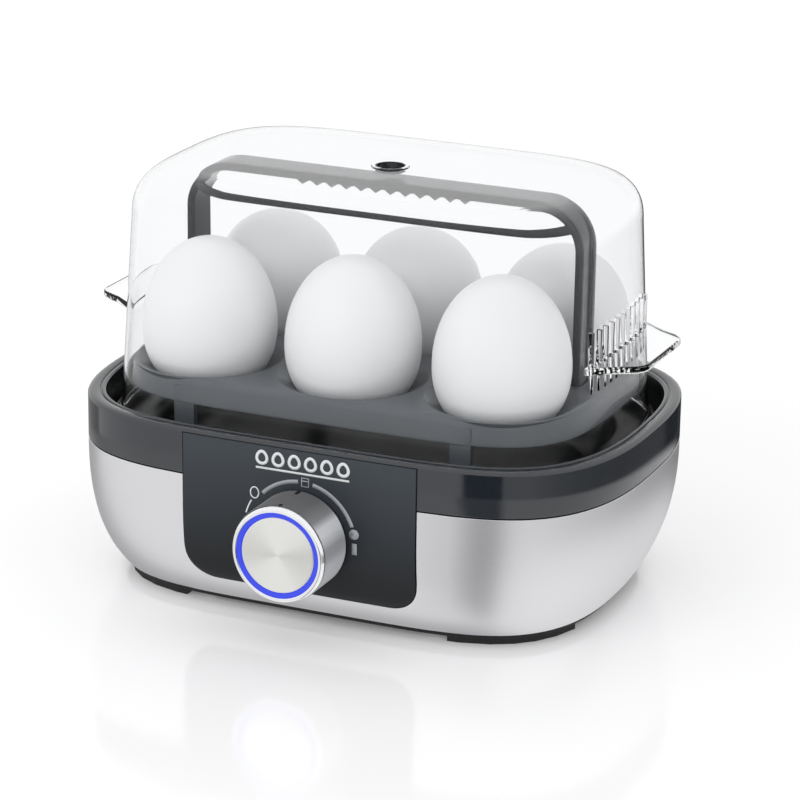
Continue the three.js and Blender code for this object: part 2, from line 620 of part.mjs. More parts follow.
// The handle is a flat band bent into an arch, with a slim bar in front of its top.
function buildHandle() {
  const x = HANDLE_OUTER_X;
  const foot = CARRIER_TOP + GAP;
  const t = HANDLE_THICKNESS;
  const arch = new THREE.Shape();
  arch.moveTo(-x, foot);
  arch.lineTo(-x + t, foot);
  arch.lineTo(-x + t, HANDLE_TOP - HANDLE_BEND);
  arch.absarc(-x + HANDLE_BEND, HANDLE_TOP - HANDLE_BEND, HANDLE_BEND - t, Math.PI, Math.PI / 2, true);
  arch.absarc(x - HANDLE_BEND, HANDLE_TOP - HANDLE_BEND, HANDLE_BEND - t, Math.PI / 2, 0, true);
  arch.lineTo(x - t, foot);
  arch.lineTo(x, foot);
  arch.lineTo(x, HANDLE_TOP - HANDLE_BEND);
  arch.absarc(x - HANDLE_BEND, HANDLE_TOP - HANDLE_BEND, HANDLE_BEND, 0, Math.PI / 2);
  arch.absarc(-x + HANDLE_BEND, HANDLE_TOP - HANDLE_BEND, HANDLE_BEND, Math.PI / 2, Math.PI);
  const front = -HANDLE_WIDTH / 2;
  const back = HANDLE_WIDTH / 2;
  const band = uprightPlate(arch, front, back);
  const ribs = [];
  for (let i = 0; i < 12; i++) {
    const ribX = (i - 5.5) * 5.2;
    const low = HANDLE_TOP - t - 1;
    ribs.push(box(ribX - 1, ribX + 1, front, back, low, HANDLE_TOP - 1));
  }
  const half = [
    [x - t, front + 1.5, BAR_HEIGHT + 1.6], [x - 9, front - BAR_REACH + 3.2, BAR_HEIGHT + 0.6],
    [x - 19, front - BAR_REACH + 0.6, BAR_HEIGHT],
  ];
  const mirrored = half.map(([px, py, pz]) => [-px, py, pz]).reverse();
  const bar = tube([...half, [0, front - BAR_REACH, BAR_HEIGHT], ...mirrored], 1.4, 6, 18);
  const hooks = [-1, 1].flatMap((side) => {
    const outer = side * x;
    const inner = side * (x - t);
    const catchX = side * (x + 1);
    const low = CARRIER_TOP - 6;
    return [
      box(Math.min(outer, inner), Math.max(outer, inner), -HOOK_WIDTH / 2, HOOK_WIDTH / 2, low, foot + 1),
      box(Math.min(catchX, inner), Math.max(catchX, inner), -HOOK_WIDTH / 2, HOOK_WIDTH / 2, low,
        CARRIER_TOP - 2.7),
    ];
  });
  const grooves = [-1, 1].map((side) => {
    const xs = [side * (x - 0.9), side * (x + 1)];
    return box(Math.min(...xs), Math.max(...xs), -2.4, 2.4, foot + 3, 116);
  });
  place('carrier_handle', cut(join(band, bar, ...ribs, ...hooks), ...grooves), handlePlastic);
}

// Rows of the lid's wall, moved in by inset, from the rim up to the middle of the top.
function lidRows(inset) {
  const row = (a, b, z, squareness) => ({
    a: a - inset,
    b: b - inset,
    z,
    powers: HOUSING_POWERS.map((power, i) => power + (INNER_POWERS[i] - power) * squareness),
  });
  const rows = [
    row(84.6, 57.6, 56.4, 0.3), row(83.1, 56, 60.5, 0.8), row(82.5, 55.4, 66, 1),
    row(79.7, 52.4, LID_TOP - LID_EDGE, 1),
  ];
  const steps = 3;
  for (let i = 1; i <= steps; i++) {
    const angle = ((Math.PI / 2) * i) / steps;
    const reach = (LID_EDGE - inset) * (1 - Math.cos(angle));
    const rise = (LID_EDGE - inset) * Math.sin(angle);
    rows.push(row(79.7 - reach, 52.4 - reach, LID_TOP - LID_EDGE + rise, 1));
  }
  rows.push({ a: 0, b: 0, z: LID_TOP - inset, powers: INNER_POWERS });
  return rows;
}

function buildLid() {
  const rim = (inset, z) => ({ a: LID_RIM_A - inset, b: LID_RIM_A - 26.6 - inset, z, powers: HOUSING_POWERS });
  const outside = lidRows(0);
  const inside = lidRows(LID_WALL).reverse();
  const wall = oval([
    ...outside.slice().reverse(), rim(0, 54.2), rim(0, LID_BOTTOM), rim(1.8, LID_BOTTOM),
    rim(2, 53.7), ...inside.slice().reverse(),
  ]);
  const cavity = oval([...inside, rim(2, 50), { a: 0, b: 0, z: 50, powers: HOUSING_POWERS }]);
  const grips = [-1, 1].map((side) => {
    const shape = new THREE.Shape();
    const end = GRIP_OUTER_X;
    shape.moveTo(68 * side, -GRIP_ROOT);
    shape.lineTo(78 * side, -GRIP_ROOT);
    shape.lineTo((end - 6) * side, -GRIP_END - 1);
    shape.quadraticCurveTo(end * side, -GRIP_END, end * side, -GRIP_END + 7);
    shape.lineTo(end * side, GRIP_END - 7);
    shape.quadraticCurveTo(end * side, GRIP_END, (end - 6) * side, GRIP_END + 1);
    shape.lineTo(78 * side, GRIP_ROOT);
    shape.lineTo(68 * side, GRIP_ROOT);
    return new THREE.ExtrudeGeometry(shape, { depth: GRIP_THICKNESS, bevelEnabled: false, curveSegments: 4 })
      .translate(0, 0, GRIP_TOP - GRIP_THICKNESS);
  });
  // Upright ribs on the right end, standing as far out of the rounded wall at every place.
  const ribs = [];
  for (let i = 0; i < RIB_COUNT; i++) {
    const y = (i - (RIB_COUNT - 1) / 2) * RIB_PITCH;
    const wallX = 81.4 * (1 - (Math.abs(y) / 54) ** INNER_POWERS[1]) ** (1 / INNER_POWERS[0]);
    ribs.push(box(wallX - 4, wallX + RIB_PROUD, y - 0.7, y + 0.7, GRIP_TOP - 9.5, GRIP_TOP + 10.5));
  }
  const ventRim = cylinder(VENT.radius + 1.3, LID_TOP - 1, LID_TOP + 0.5, 0, VENT.y, 16);
  const vent = cylinder(VENT.radius, LID_TOP - 5, LID_TOP + 5, 0, VENT.y, 16);
  place('lid', cut(join(wall, cut(join(...grips, ...ribs), cavity), ventRim), vent), clearPlastic);
}

buildShell();
buildCollar();
buildPanel();
buildBottomPlate();
buildFeet();
buildScrews();
buildDish();
buildHeater();
buildPowerBoard();
buildGland();
buildDial();
buildControlBoard();
buildCarrier();
buildHandle();
buildLid();

export default cooker;
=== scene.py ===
# Looks for the electric egg cooker. Shapes are drawn in millimetres about the housing's middle, with
# the table at z = 0, and new_piece() turns them into metres in the shared frame.
import json
import math

import bmesh
import bpy
import numpy as np
from mathutils import Matrix, Vector


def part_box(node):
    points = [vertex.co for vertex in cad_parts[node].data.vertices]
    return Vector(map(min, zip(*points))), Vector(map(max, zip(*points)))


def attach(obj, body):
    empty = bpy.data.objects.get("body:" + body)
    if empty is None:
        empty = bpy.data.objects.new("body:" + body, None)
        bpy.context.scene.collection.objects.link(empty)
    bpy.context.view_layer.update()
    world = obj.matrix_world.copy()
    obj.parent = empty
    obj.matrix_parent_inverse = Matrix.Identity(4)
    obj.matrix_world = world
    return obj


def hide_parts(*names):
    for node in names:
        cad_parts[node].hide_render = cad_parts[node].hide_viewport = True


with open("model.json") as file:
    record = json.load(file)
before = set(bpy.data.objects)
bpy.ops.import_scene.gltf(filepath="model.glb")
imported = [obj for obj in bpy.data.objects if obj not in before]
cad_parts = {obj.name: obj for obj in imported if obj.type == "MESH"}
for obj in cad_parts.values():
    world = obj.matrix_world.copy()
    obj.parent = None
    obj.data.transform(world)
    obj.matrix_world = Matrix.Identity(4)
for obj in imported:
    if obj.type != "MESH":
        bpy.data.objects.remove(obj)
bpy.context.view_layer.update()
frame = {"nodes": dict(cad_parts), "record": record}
MM = 0.001


def middle_y(node):
    low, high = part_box(node)
    return (low.y + high.y) / 2 / MM


BACK = middle_y("egg_carrier")  # the housing's middle lies this far behind the frame's origin

# ---- Driving dimensions ----

HOUSING_A, HOUSING_B = 94.3, 67.8
HOUSING_POWERS = (4.85, 2.68)
INNER_POWERS = (5.4, 3.2)
COLLAR_BOTTOM, COLLAR_TOP = 47.1, 62.3
SHELL_BOTTOM, SHELL_TOP = 3.6, 46.8
BASE_RIM_BOTTOM, BASE_RIM_TOP = 1.6, 4.0
TUCK_HEIGHT = 45.1
END_TUCK, END_TUCK_POWER = 12.1, 2.45
SIDE_TUCK, SIDE_TUCK_POWER = 12.2, 4.2

PANEL_HALF, PANEL_BOTTOM, PANEL_TOP, PANEL_CORNER = 40.2, 12.0, 60.8, 10.0
PANEL_PROUD = 0.3
GAP = 0.3
DIAL_X, DIAL_HEIGHT = 1.5, 32.2
DIAL_RADIUS, DIAL_LENGTH = 16.0, 17.7
PANEL_FACE = -(HOUSING_B + PANEL_PROUD)
HUB_RADIUS = 11.4
SCALE_RADIUS = 18.6
EMBLEM_X, EMBLEM_HEIGHT, EMBLEM_PITCH = 1.8, 57.0, 5.6

CARRIER_A, CARRIER_B = 80.2, 53.0
CARRIER_TOP, CARRIER_SKIRT = 73.5, 65.0
SEATS = [(x, y) for x in (-51.3, 0, 51.3) for y in (-26.2, 26.2)]
SEAT_RADIUS, SEAT_HOLE = 24.4, 16.4
EGG_RADIUS, EGG_BOTTOM, EGG_WAIST = 22.1, 60.0, 84.2
EGG_TOP, REAR_EGG_TOP = 113.4, 110.4

HANDLE_X, HANDLE_TOP, HANDLE_BEND = 69.9, 132.6, 15.5
HANDLE_WIDTH, HANDLE_THICKNESS = 12.4, 2.8
TOOTH_COUNT, TOOTH_PITCH = 12, 5.2

LID_TOP, LID_WALL, LID_EDGE = 136.4, 0.75, 15.6
LID_LOW, LID_LOW_A, LID_LOW_B = 66.5, 82.5, 55.4  # where the wall starts to lean in
LID_LEAN_A, LID_LEAN_B = 2.8, 3.0
LID_RIM_A, LID_RIM_STEP = 86.8, 26.6
GRIP_TOP, GRIP_THICKNESS, GRIP_END_X = 87.6, 2.4, 96.4
RIB_COUNT, RIB_PITCH, RIB_WIDTH, RIB_PROUD = 11, 4.8, 1.4, 1.1
RIB_WALL_A, RIB_WALL_B = 81.4, 54  # the lid's wall at the ribs' height
VENT_RADIUS, VENT_Y = 5.0, 1.5

CAMERA_TURN, CAMERA_LIFT, CAMERA_ROLL = 23.37, 18.31, 0.86
CAMERA_LENS, CAMERA_DISTANCE = 150.37, 1.1
CAMERA_TARGET_X, CAMERA_TARGET_Z = 5.23, 58.16
KEY_PLACE, KEY_AIM = (-0.35, -1.1, 0.7), (0, 0, 0.08)
KEY_SIZE, KEY_POWER = (0.9, 0.5), 3.6


# ---- Materials ----

def srgb(red, green, blue):
    """A colour given as it shows on screen, 0 to 255, as the linear values a shader takes."""
    values = []
    for value in (red, green, blue):
        share = value / 255
        values.append(share / 12.92 if share <= 0.04045 else ((share + 0.055) / 1.055) ** 2.4)
    return (*values, 1)


def new_material(name):
    material = bpy.data.materials.new(name)
    material.use_nodes = True
    tree = material.node_tree
    return material, tree, tree.nodes["Principled BSDF"]


def feed(tree, value, socket):
    """Links a node's output to a socket, or sets the socket to a plain value."""
    if isinstance(value, bpy.types.NodeSocket):
        tree.links.new(value, socket)
    else:
        socket.default_value = value


def add_node(tree, kind, **inputs):
    """A new shader node with its inputs fed. Input names have _ for spaces."""
    node = tree.nodes.new(kind)
    for name, value in inputs.items():
        feed(tree, value, node.inputs[name.replace("_", " ")])
    return node


def place_on_object(tree, stretch):
    """Object coordinates in metres, stretched along each axis."""
    where = tree.nodes.new("ShaderNodeTexCoord")
    mapping = add_node(tree, "ShaderNodeMapping", Scale=stretch, Vector=where.outputs["Object"])
    return mapping.outputs["Vector"]


def noise(tree, scale, detail=3.0, stretch=(1, 1, 1)):
    where = place_on_object(tree, stretch)
    texture = add_node(tree, "ShaderNodeTexNoise", Scale=scale, Detail=detail, Vector=where)
    return texture.outputs["Fac"]


def map_range(tree, value, from_low, from_high, low=0, high=1, interpolation="LINEAR"):
    """Moves a value from one range to another, held at the ends."""
    node = add_node(
        tree, "ShaderNodeMapRange",
        Value=value, From_Min=from_low, From_Max=from_high, To_Min=low, To_Max=high,
    )
    node.interpolation_type = interpolation
    return node.outputs["Result"]


def spread(tree, value, low, high):
    """Moves a noise value to the range from low to high."""
    return map_range(tree, value, 0.3, 0.7, low, high)


def height_share(tree, low, high):
    """Goes from 0 to 1 between two heights in millimetres."""
    where = tree.nodes.new("ShaderNodeTexCoord")
    parts = tree.nodes.new("ShaderNodeSeparateXYZ")
    tree.links.new(where.outputs["Object"], parts.inputs["Vector"])
    return map_range(tree, parts.outputs["Z"], low * MM, high * MM)


def add_bump(tree, shader, value, strength, distance):
    bump = add_node(tree, "ShaderNodeBump", Strength=strength, Distance=distance, Height=value)
    tree.links.new(bump.outputs["Normal"], shader.inputs["Normal"])


def blend(tree, factor, first, second, data_type="RGBA"):
    """Goes from the first colour or level to the second."""
    mix = tree.nodes.new("ShaderNodeMix")
    mix.data_type = data_type
    for name, value in (("Factor", factor), ("A", first), ("B", second)):
        feed(tree, value, mix.inputs[name])
    return mix.outputs["Result"]


def darker(colour, factor):
    return (colour[0] * factor, colour[1] * factor, colour[2] * factor, 1)


def moulded(name, colour, roughness, grain=2600, bump=0.12, mottle=0.9, rough_spread=0.05, reflection=0.5):
    """Moulded plastic or rubber: a fine moulded grain, faint mottling and uneven gloss."""
    material, tree, shader = new_material(name)
    shader.inputs["Specular IOR Level"].default_value = reflection
    cloud = noise(tree, 90, 4)
    tone = blend(tree, spread(tree, cloud, 0, 1), darker(colour, mottle), colour)
    tree.links.new(tone, shader.inputs["Base Color"])
    gloss = spread(tree, noise(tree, 240, 4), roughness - rough_spread, roughness + rough_spread)
    tree.links.new(gloss, shader.inputs["Roughness"])
    add_bump(tree, shader, noise(tree, grain, 2), bump, 0.00006)
    return material


def metal(name, colour, roughness, stretch=(1, 1, 1), scale=900, bump=0.06, mottle=0.94, rough_spread=0.04):
    """Bare metal with drawn or brushed lines along the axes whose stretch is small."""
    material, tree, shader = new_material(name)
    shader.inputs["Metallic"].default_value = 1
    lines = noise(tree, scale, 3, stretch)
    tone = blend(tree, spread(tree, lines, 0, 1), darker(colour, mottle), colour)
    tree.links.new(tone, shader.inputs["Base Color"])
    gloss = spread(tree, lines, roughness - rough_spread, roughness + rough_spread)
    tree.links.new(gloss, shader.inputs["Roughness"])
    add_bump(tree, shader, lines, bump, 0.00003)
    return material


def plastic_with_painted_shade(name, foot, head, roughness, reflection):
    """Smooth anthracite plastic with painted shade, its colour a little deeper towards the foot."""
    material, tree, shader = new_material(name)
    shader.inputs["Specular IOR Level"].default_value = reflection
    # Painted shade: the base colour darkens from the head down to the foot.
    base = blend(tree, height_share(tree, PANEL_BOTTOM + 4, PANEL_TOP - 2.8), foot, head)
    cloud = spread(tree, noise(tree, 70, 4), 0.0, 0.05)
    tree.links.new(blend(tree, cloud, base, srgb(62, 66, 71)), shader.inputs["Base Color"])
    gloss = spread(tree, noise(tree, 300, 3), roughness - 0.02, roughness + 0.02)
    tree.links.new(gloss, shader.inputs["Roughness"])
    add_bump(tree, shader, noise(tree, 3200, 2), 0.02, 0.00003)
    return material


def spun_metal(name, colour, roughness, anisotropy):
    """Spun metal: fine rings about the dial's axis, with highlights that fan out from the middle."""
    material, tree, shader = new_material(name)
    shader.inputs["Metallic"].default_value = 1
    shader.inputs["Anisotropic"].default_value = anisotropy
    shader.inputs["Anisotropic Rotation"].default_value = 0.25
    tangent = tree.nodes.new("ShaderNodeTangent")
    tangent.direction_type = "RADIAL"
    tangent.axis = "Y"
    tree.links.new(tangent.outputs["Tangent"], shader.inputs["Tangent"])
    where = tree.nodes.new("ShaderNodeTexCoord")
    shift = add_node(
        tree, "ShaderNodeMapping",
        Location=(-DIAL_X * MM, 0, -DIAL_HEIGHT * MM), Scale=(1, 0, 1), Vector=where.outputs["Object"],
    )
    place = shift.outputs["Vector"]
    rings = add_node(tree, "ShaderNodeTexWave", Scale=520, Distortion=1.2, Detail=3, Vector=place)
    rings.wave_type = "RINGS"
    rings.rings_direction = "SPHERICAL"
    lines = rings.outputs["Fac"]
    tree.links.new(blend(tree, lines, darker(colour, 0.985), colour), shader.inputs["Base Color"])
    gloss = map_range(tree, lines, 0, 1, roughness - 0.015, roughness + 0.015)
    tree.links.new(gloss, shader.inputs["Roughness"])
    add_bump(tree, shader, lines, 0.01, 0.00001)
    return material


def satin_with_painted_reflection(name, levels):
    """Satin turned metal with painted reflections: its tone changes round it in painted light and dark
    bands, from pairs of (height over the axis, level).
    The painted bands are fixed to the metal, so they turn with the dial."""
    material = spun_metal(name, srgb(214, 215, 219), 0.6, 0.9)
    tree = material.node_tree
    shader = tree.nodes["Principled BSDF"]
    height = height_share(tree, DIAL_HEIGHT - DIAL_RADIUS, DIAL_HEIGHT + DIAL_RADIUS)
    ramp = tree.nodes.new("ShaderNodeValToRGB")
    stops = ramp.color_ramp.elements
    # Each stop is a painted reflection band: a lighter or darker tone at its height round the barrel.
    for i, (place, level) in enumerate(levels):
        share = (place + DIAL_RADIUS) / (2 * DIAL_RADIUS)
        stop = stops[i] if i < 2 else stops.new(share)
        stop.position = share
        stop.color = darker(srgb(236, 237, 241), level)
    tree.links.new(height, ramp.inputs["Fac"])
    tree.links.new(ramp.outputs["Color"], shader.inputs["Base Color"])
    return material


def clear_plastic(name):
    """Clear polished plastic that bends light, and lets the lamps' light through to what is inside."""
    material, tree, shader = new_material(name)
    shader.inputs["Base Color"].default_value = (0.966, 0.97, 0.975, 1)
    shader.inputs["Transmission Weight"].default_value = 1
    shader.inputs["IOR"].default_value = 1.21
    tree.links.new(spread(tree, noise(tree, 60, 3), 0.0, 0.02), shader.inputs["Roughness"])
    add_bump(tree, shader, noise(tree, 20, 2), 0.012, 0.0003)
    path = tree.nodes.new("ShaderNodeLightPath")
    open_way = add_node(tree, "ShaderNodeBsdfTransparent", Color=(0.93, 0.94, 0.95, 1))
    mix = tree.nodes.new("ShaderNodeMixShader")
    tree.links.new(path.outputs["Is Shadow Ray"], mix.inputs["Fac"])
    tree.links.new(shader.outputs["BSDF"], mix.inputs[1])
    tree.links.new(open_way.outputs["BSDF"], mix.inputs[2])
    tree.links.new(mix.outputs["Shader"], tree.nodes["Material Output"].inputs["Surface"])
    return material


def glowing(name, colour, strength):
    material, tree, shader = new_material(name)
    shader.inputs["Base Color"].default_value = darker(colour, 0.15)
    shader.inputs["Roughness"].default_value = 0.35
    glow = blend(tree, spread(tree, noise(tree, 300, 2), 0, 1), darker(colour, 0.9), colour)
    tree.links.new(glow, shader.inputs["Emission Color"])
    shader.inputs["Emission Strength"].default_value = strength
    return material


steel = metal(
    "brushed_steel", srgb(230, 230, 233), 0.36, (0.02, 0.02, 1), 2600,
    bump=0.015, mottle=0.985, rough_spread=0.012,
)
# Painted reflection bands for the satin chrome, as pairs of (height over the dial's axis, level).
chrome = satin_with_painted_reflection("satin_chrome_painted_reflection", (
    (-16, 0.3), (16, 0.22), (-9, 0.62), (-2, 0.8), (3.5, 0.62),
    (7.5, 1.0), (9.5, 1.0), (11.5, 0.42), (14.5, 0.24),
))
bright_rim = metal("bright_rim", srgb(246, 247, 248), 0.12, scale=700, bump=0.01)
spun = spun_metal("spun_aluminium", srgb(241, 241, 237), 0.38, 0.85)
# Both plastics carry painted shade, darker towards the foot.
anthracite = plastic_with_painted_shade("anthracite", srgb(24, 28, 33), srgb(28, 33, 39), 0.08, 0.85)
panel_dark = plastic_with_painted_shade("panel_dark", srgb(22, 24, 27), srgb(60, 65, 70), 0.34, 0.2)
# A darker, duller copy of the collar's plastic for its inner faces: painted shade in the recess under the
# lid.
collar_inside_painted_shade = moulded(
    "collar_inside_painted_shade", srgb(13, 14, 17), 0.3, bump=0.01, rough_spread=0.01, reflection=0.28
)
grey_plastic = moulded("carrier_grey", srgb(84, 88, 92), 0.32, bump=0.02, mottle=0.98, rough_spread=0.02)
handle_plastic = moulded("handle_grey", srgb(28, 31, 35), 0.22, bump=0.02, mottle=0.97, rough_spread=0.02)
dark_plastic = moulded("dark_plastic", srgb(32, 34, 37), 0.45)
black_plastic = moulded("black_plastic", srgb(20, 21, 23), 0.5)
rubber = moulded("rubber", srgb(16, 16, 17), 0.75, grain=1800, bump=0.3)
silicone = moulded("silicone", srgb(176, 172, 162), 0.6)
non_stick = moulded(
    "non_stick", srgb(9, 10, 12), 0.3, grain=2400, bump=0.01, rough_spread=0.01, reflection=0.22
)
board_green = moulded("board_green", srgb(31, 90, 58), 0.4, grain=1200)
sheath = metal("dark_sheath", srgb(92, 90, 86), 0.45, bump=0.15)
aluminium = metal("aluminium", srgb(214, 214, 210), 0.3)
clear = clear_plastic("clear_plastic")
# Dark plastic for the vent's sleeve: painted shade that makes the steam vent look like a dark hole.
vent_shade_plastic = moulded("vent_painted_shade", srgb(40, 42, 45), 0.15, bump=0.02)
blue_glow = glowing("blue_glow", srgb(52, 70, 228), 0.92)
print_white = moulded("print_white", srgb(226, 228, 230), 0.4, bump=0.02)
print_grey = moulded("print_grey", srgb(158, 162, 166), 0.4, bump=0.02)

SLOT_MATERIALS = {
    "steel": steel, "dark_plastic": dark_plastic, "black_plastic": black_plastic, "rubber": rubber,
    "silicone": silicone, "non_stick": non_stick, "grey_plastic": grey_plastic,
    "handle_plastic": handle_plastic, "clear_plastic": clear, "chrome": chrome, "aluminium": aluminium,
    "glow_blue": blue_glow, "board_green": board_green, "dark_sheath": sheath,
}


# ---- Making pieces ----

def new_piece(name, points, faces, material, sharp=38):
    """A smooth-shaded mesh object from millimetre points about the housing's middle."""
    mesh = bpy.data.meshes.new(name)
    placed = [(x * MM, (y + BACK) * MM, z * MM) for x, y, z in points]
    mesh.from_pydata(placed, [], [list(face) for face in faces])
    edit = bmesh.new()
    edit.from_mesh(mesh)
    bmesh.ops.recalc_face_normals(edit, faces=edit.faces)
    edit.to_mesh(mesh)
    edit.free()
    mesh.materials.append(material)
    piece = bpy.data.objects.new(name, mesh)
    bpy.context.scene.collection.objects.link(piece)
    smooth(piece, sharp)
    return piece


def smooth(piece, sharp=38):
    mesh = piece.data
    mesh.shade_smooth()
    mesh.set_sharp_from_angle(angle=math.radians(sharp))


def modify(piece, kind, **settings):
    """Works a modifier into a piece's mesh."""
    modifier = piece.modifiers.new(kind, kind)
    for name, value in settings.items():
        setattr(modifier, name, value)
    graph = bpy.context.evaluated_depsgraph_get()
    mesh = bpy.data.meshes.new_from_object(piece.evaluated_get(graph), depsgraph=graph)
    piece.modifiers.clear()
    piece.data = mesh


def bevel(piece, width, segments, angle):
    """Rounds every edge sharper than angle, by a width in millimetres."""
    modify(
        piece, "BEVEL", width=width * MM, segments=segments, limit_method="ANGLE",
        angle_limit=math.radians(angle), harden_normals=True,
    )


def thicken(piece, thickness):
    """Gives a sheet its thickness, inwards from its outer face."""
    modify(piece, "SOLIDIFY", thickness=thickness * MM, offset=-1, use_even_offset=True)


def weigh_normals(piece, sharp=30):
    """Keeps flat faces flat where they meet small rounded edges."""
    smooth(piece, sharp)
    modify(piece, "WEIGHTED_NORMAL", keep_sharp=True, weight=80)


def combine(piece, tools, operation):
    """Joins tools to a piece or cuts them from it, and removes them."""
    for tool in tools:
        modify(piece, "BOOLEAN", operation=operation, solver="EXACT", object=tool)
        bpy.data.objects.remove(tool)
    smooth(piece)


def oval_point(angle, a, b, powers):
    c, s = math.cos(angle), math.sin(angle)
    x = a * math.copysign(abs(c) ** (2 / powers[0]), c)
    y = b * math.copysign(abs(s) ** (2 / powers[1]), s)
    return x, y


def quarter_angles(a, b, powers, count, turn_weight=45):
    """Angles from 0 to a right angle that space points evenly, and more closely where the oval turns."""
    x = a * np.sin(np.linspace(0, math.pi / 2, 8001))
    share = np.clip(1 - (x / a) ** powers[0], 0, 1)
    y = b * share ** (1 / powers[1])
    angle = np.arctan2(np.sqrt(share), np.sqrt(1 - share))
    dx, dy = np.diff(x), np.diff(y)
    turn = np.abs(np.diff(np.unwrap(np.arctan2(dy, dx)), prepend=0))
    turn[0] = 0
    total = np.concatenate([[0], np.cumsum(np.hypot(dx, dy) + turn_weight * turn)])
    spaced = np.interp(np.linspace(0, total[-1], count + 1), total, angle)
    return spaced[::-1]


def ring_angles(a, b, powers, count):
    up = quarter_angles(a, b, powers, count)
    down = math.pi - up[::-1]
    half = list(up[:-1]) + list(down[:-1])
    return half + [angle + math.pi for angle in half]


# A wedge's faces, when its points are one triangle and then the other.
WEDGE_FACES = [(0, 1, 2), (3, 5, 4), (0, 3, 4, 1), (1, 4, 5, 2), (2, 5, 3, 0)]
INNER_RING = ring_angles(CARRIER_A, CARRIER_B, INNER_POWERS, 28)


def loft(name, rows, material, angles=INNER_RING, closed=True):
    """An oval piece from rows (a, b, z, powers). A closed one is a ring, and an open one has flat ends."""
    count = len(angles)
    points = []
    for a, b, z, powers in rows:
        points += [(*oval_point(angle, a, b, powers), z) for angle in angles]
    return grid_piece(name, points, len(rows), count, material, closed)


def grid_piece(name, points, rows, count, material, closed, sharp=38):
    faces = []
    last = rows if closed else rows - 1
    for row in range(last):
        for i in range(count):
            j = (i + 1) % count
            below, above = row * count, ((row + 1) % rows) * count
            faces.append((below + i, below + j, above + j, above + i))
    if not closed:
        faces.append(tuple(range(count)))
        faces.append(tuple(range((rows - 1) * count, rows * count)))
    return new_piece(name, points, faces, material, sharp)


def ring_path(x, y, radius_x, radius_y, steps=20):
    """Points round an ellipse."""
    turns = [2 * math.pi * i / steps for i in range(steps)]
    return [(x + radius_x * math.cos(turn), y + radius_y * math.sin(turn)) for turn in turns]


def turned(name, rows, material, centre=(0, 0), segments=64, closed=False):
    """A round piece about an upright axis, from rows (radius, z)."""
    points = []
    for radius, z in rows:
        points += [(x, y, z) for x, y in ring_path(*centre, radius, radius, segments)]
    return grid_piece(name, points, len(rows), segments, material, closed)


def turned_on_dial(name, rows, material, segments=128, closed=True):
    """A round piece about the dial's axis, from rows (radius, distance out from the panel's face)."""
    points = []
    for radius, out in rows:
        ring = ring_path(DIAL_X, DIAL_HEIGHT, radius, radius, segments)
        points += [(x, PANEL_FACE - out, z) for x, z in ring]
    return grid_piece(name, points, len(rows), segments, material, closed)


def block(name, x, y, z, material):
    """A plain block from three (low, high) pairs, for joining and cutting."""
    points = [(px, py, pz) for pz in z for py in y for px in x]
    faces = [(0, 1, 3, 2), (4, 6, 7, 5), (0, 4, 5, 1), (2, 3, 7, 6), (0, 2, 6, 4), (1, 5, 7, 3)]
    return new_piece(name, points, faces, material)


def prism(name, outline, low, high, material):
    """A plate from an outline of (x, y), between two heights."""
    count = len(outline)
    points = [(x, y, low) for x, y in outline] + [(x, y, high) for x, y in outline]
    faces = [tuple(range(count)), tuple(range(count, 2 * count))]
    faces += [(i, (i + 1) % count, count + (i + 1) % count, count + i) for i in range(count)]
    return new_piece(name, points, faces, material)


def arc(centre, radius, start, end, steps):
    """Points of an arc in a plane, angles in degrees."""
    points = []
    for i in range(steps + 1):
        angle = math.radians(start + (end - start) * i / steps)
        points.append((centre[0] + radius * math.cos(angle), centre[1] + radius * math.sin(angle)))
    return points


def finish_piece(piece, body, node=None):
    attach(piece, body)
    if node:
        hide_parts(node)


# ---- Housing ----

def housing_level(inset, z):
    """Half-length and half-width of the housing at a height, moved in by inset."""
    tuck = max(0.0, (COLLAR_BOTTOM - z) / TUCK_HEIGHT)
    return (
        HOUSING_A - END_TUCK * tuck ** END_TUCK_POWER - inset,
        HOUSING_B - SIDE_TUCK * tuck ** SIDE_TUCK_POWER - inset,
    )


def front_y(x, z, inset=0.0):
    """How far forward the housing's front is at a place."""
    a, b = housing_level(inset, z)
    return -b * (1 - abs(x / a) ** HOUSING_POWERS[0]) ** (1 / HOUSING_POWERS[1])


def round_columns(edge, count=26):
    """Ways round the housing from the front opening's right edge to its left edge."""
    a, b = HOUSING_A, HOUSING_B
    quarter = quarter_angles(a, b, HOUSING_POWERS, count)
    start = math.acos((edge / a) ** (HOUSING_POWERS[0] / 2))
    shares = [0.0] + [1 - angle / start for angle in quarter[::-1] if angle < start * 0.97]
    rear = list(quarter[1:]) + list(math.pi - quarter[::-1][1:-1])
    right = [("side", 1, share) for share in shares]
    left = [("side", -1, share) for share in reversed(shares)]
    return right + [("rear", 0, angle) for angle in rear] + left


def column_point(column, edge, inset, z):
    a, b = housing_level(inset, z)
    kind, side, value = column
    p, q = HOUSING_POWERS
    if kind == "front":
        return value, front_y(value, z, inset), z
    if kind == "rear":
        return (*oval_point(value, a, b, HOUSING_POWERS), z)
    angle = math.acos((edge / a) ** (p / 2)) * (1 - value)
    return side * a * math.cos(angle) ** (2 / p), -b * math.sin(angle) ** (2 / q), z


def opening_columns(half, corner, straight=14, turns=9):
    """Places across the front opening, closer together over its rounded lower corners."""
    flat = half - corner
    bend = [flat + corner * math.sin(math.radians(90 * i / turns)) for i in range(1, turns + 1)]
    middle = [flat * (2 * i / straight - 1) for i in range(straight + 1)]
    return [-x for x in reversed(bend)] + middle + bend


def opening_floor(x, half, bottom, corner):
    """Height of the front opening's lower edge at a place across it."""
    beyond = max(0.0, abs(x) - (half - corner))
    return bottom + corner - math.sqrt(max(0.0, corner ** 2 - beyond ** 2))


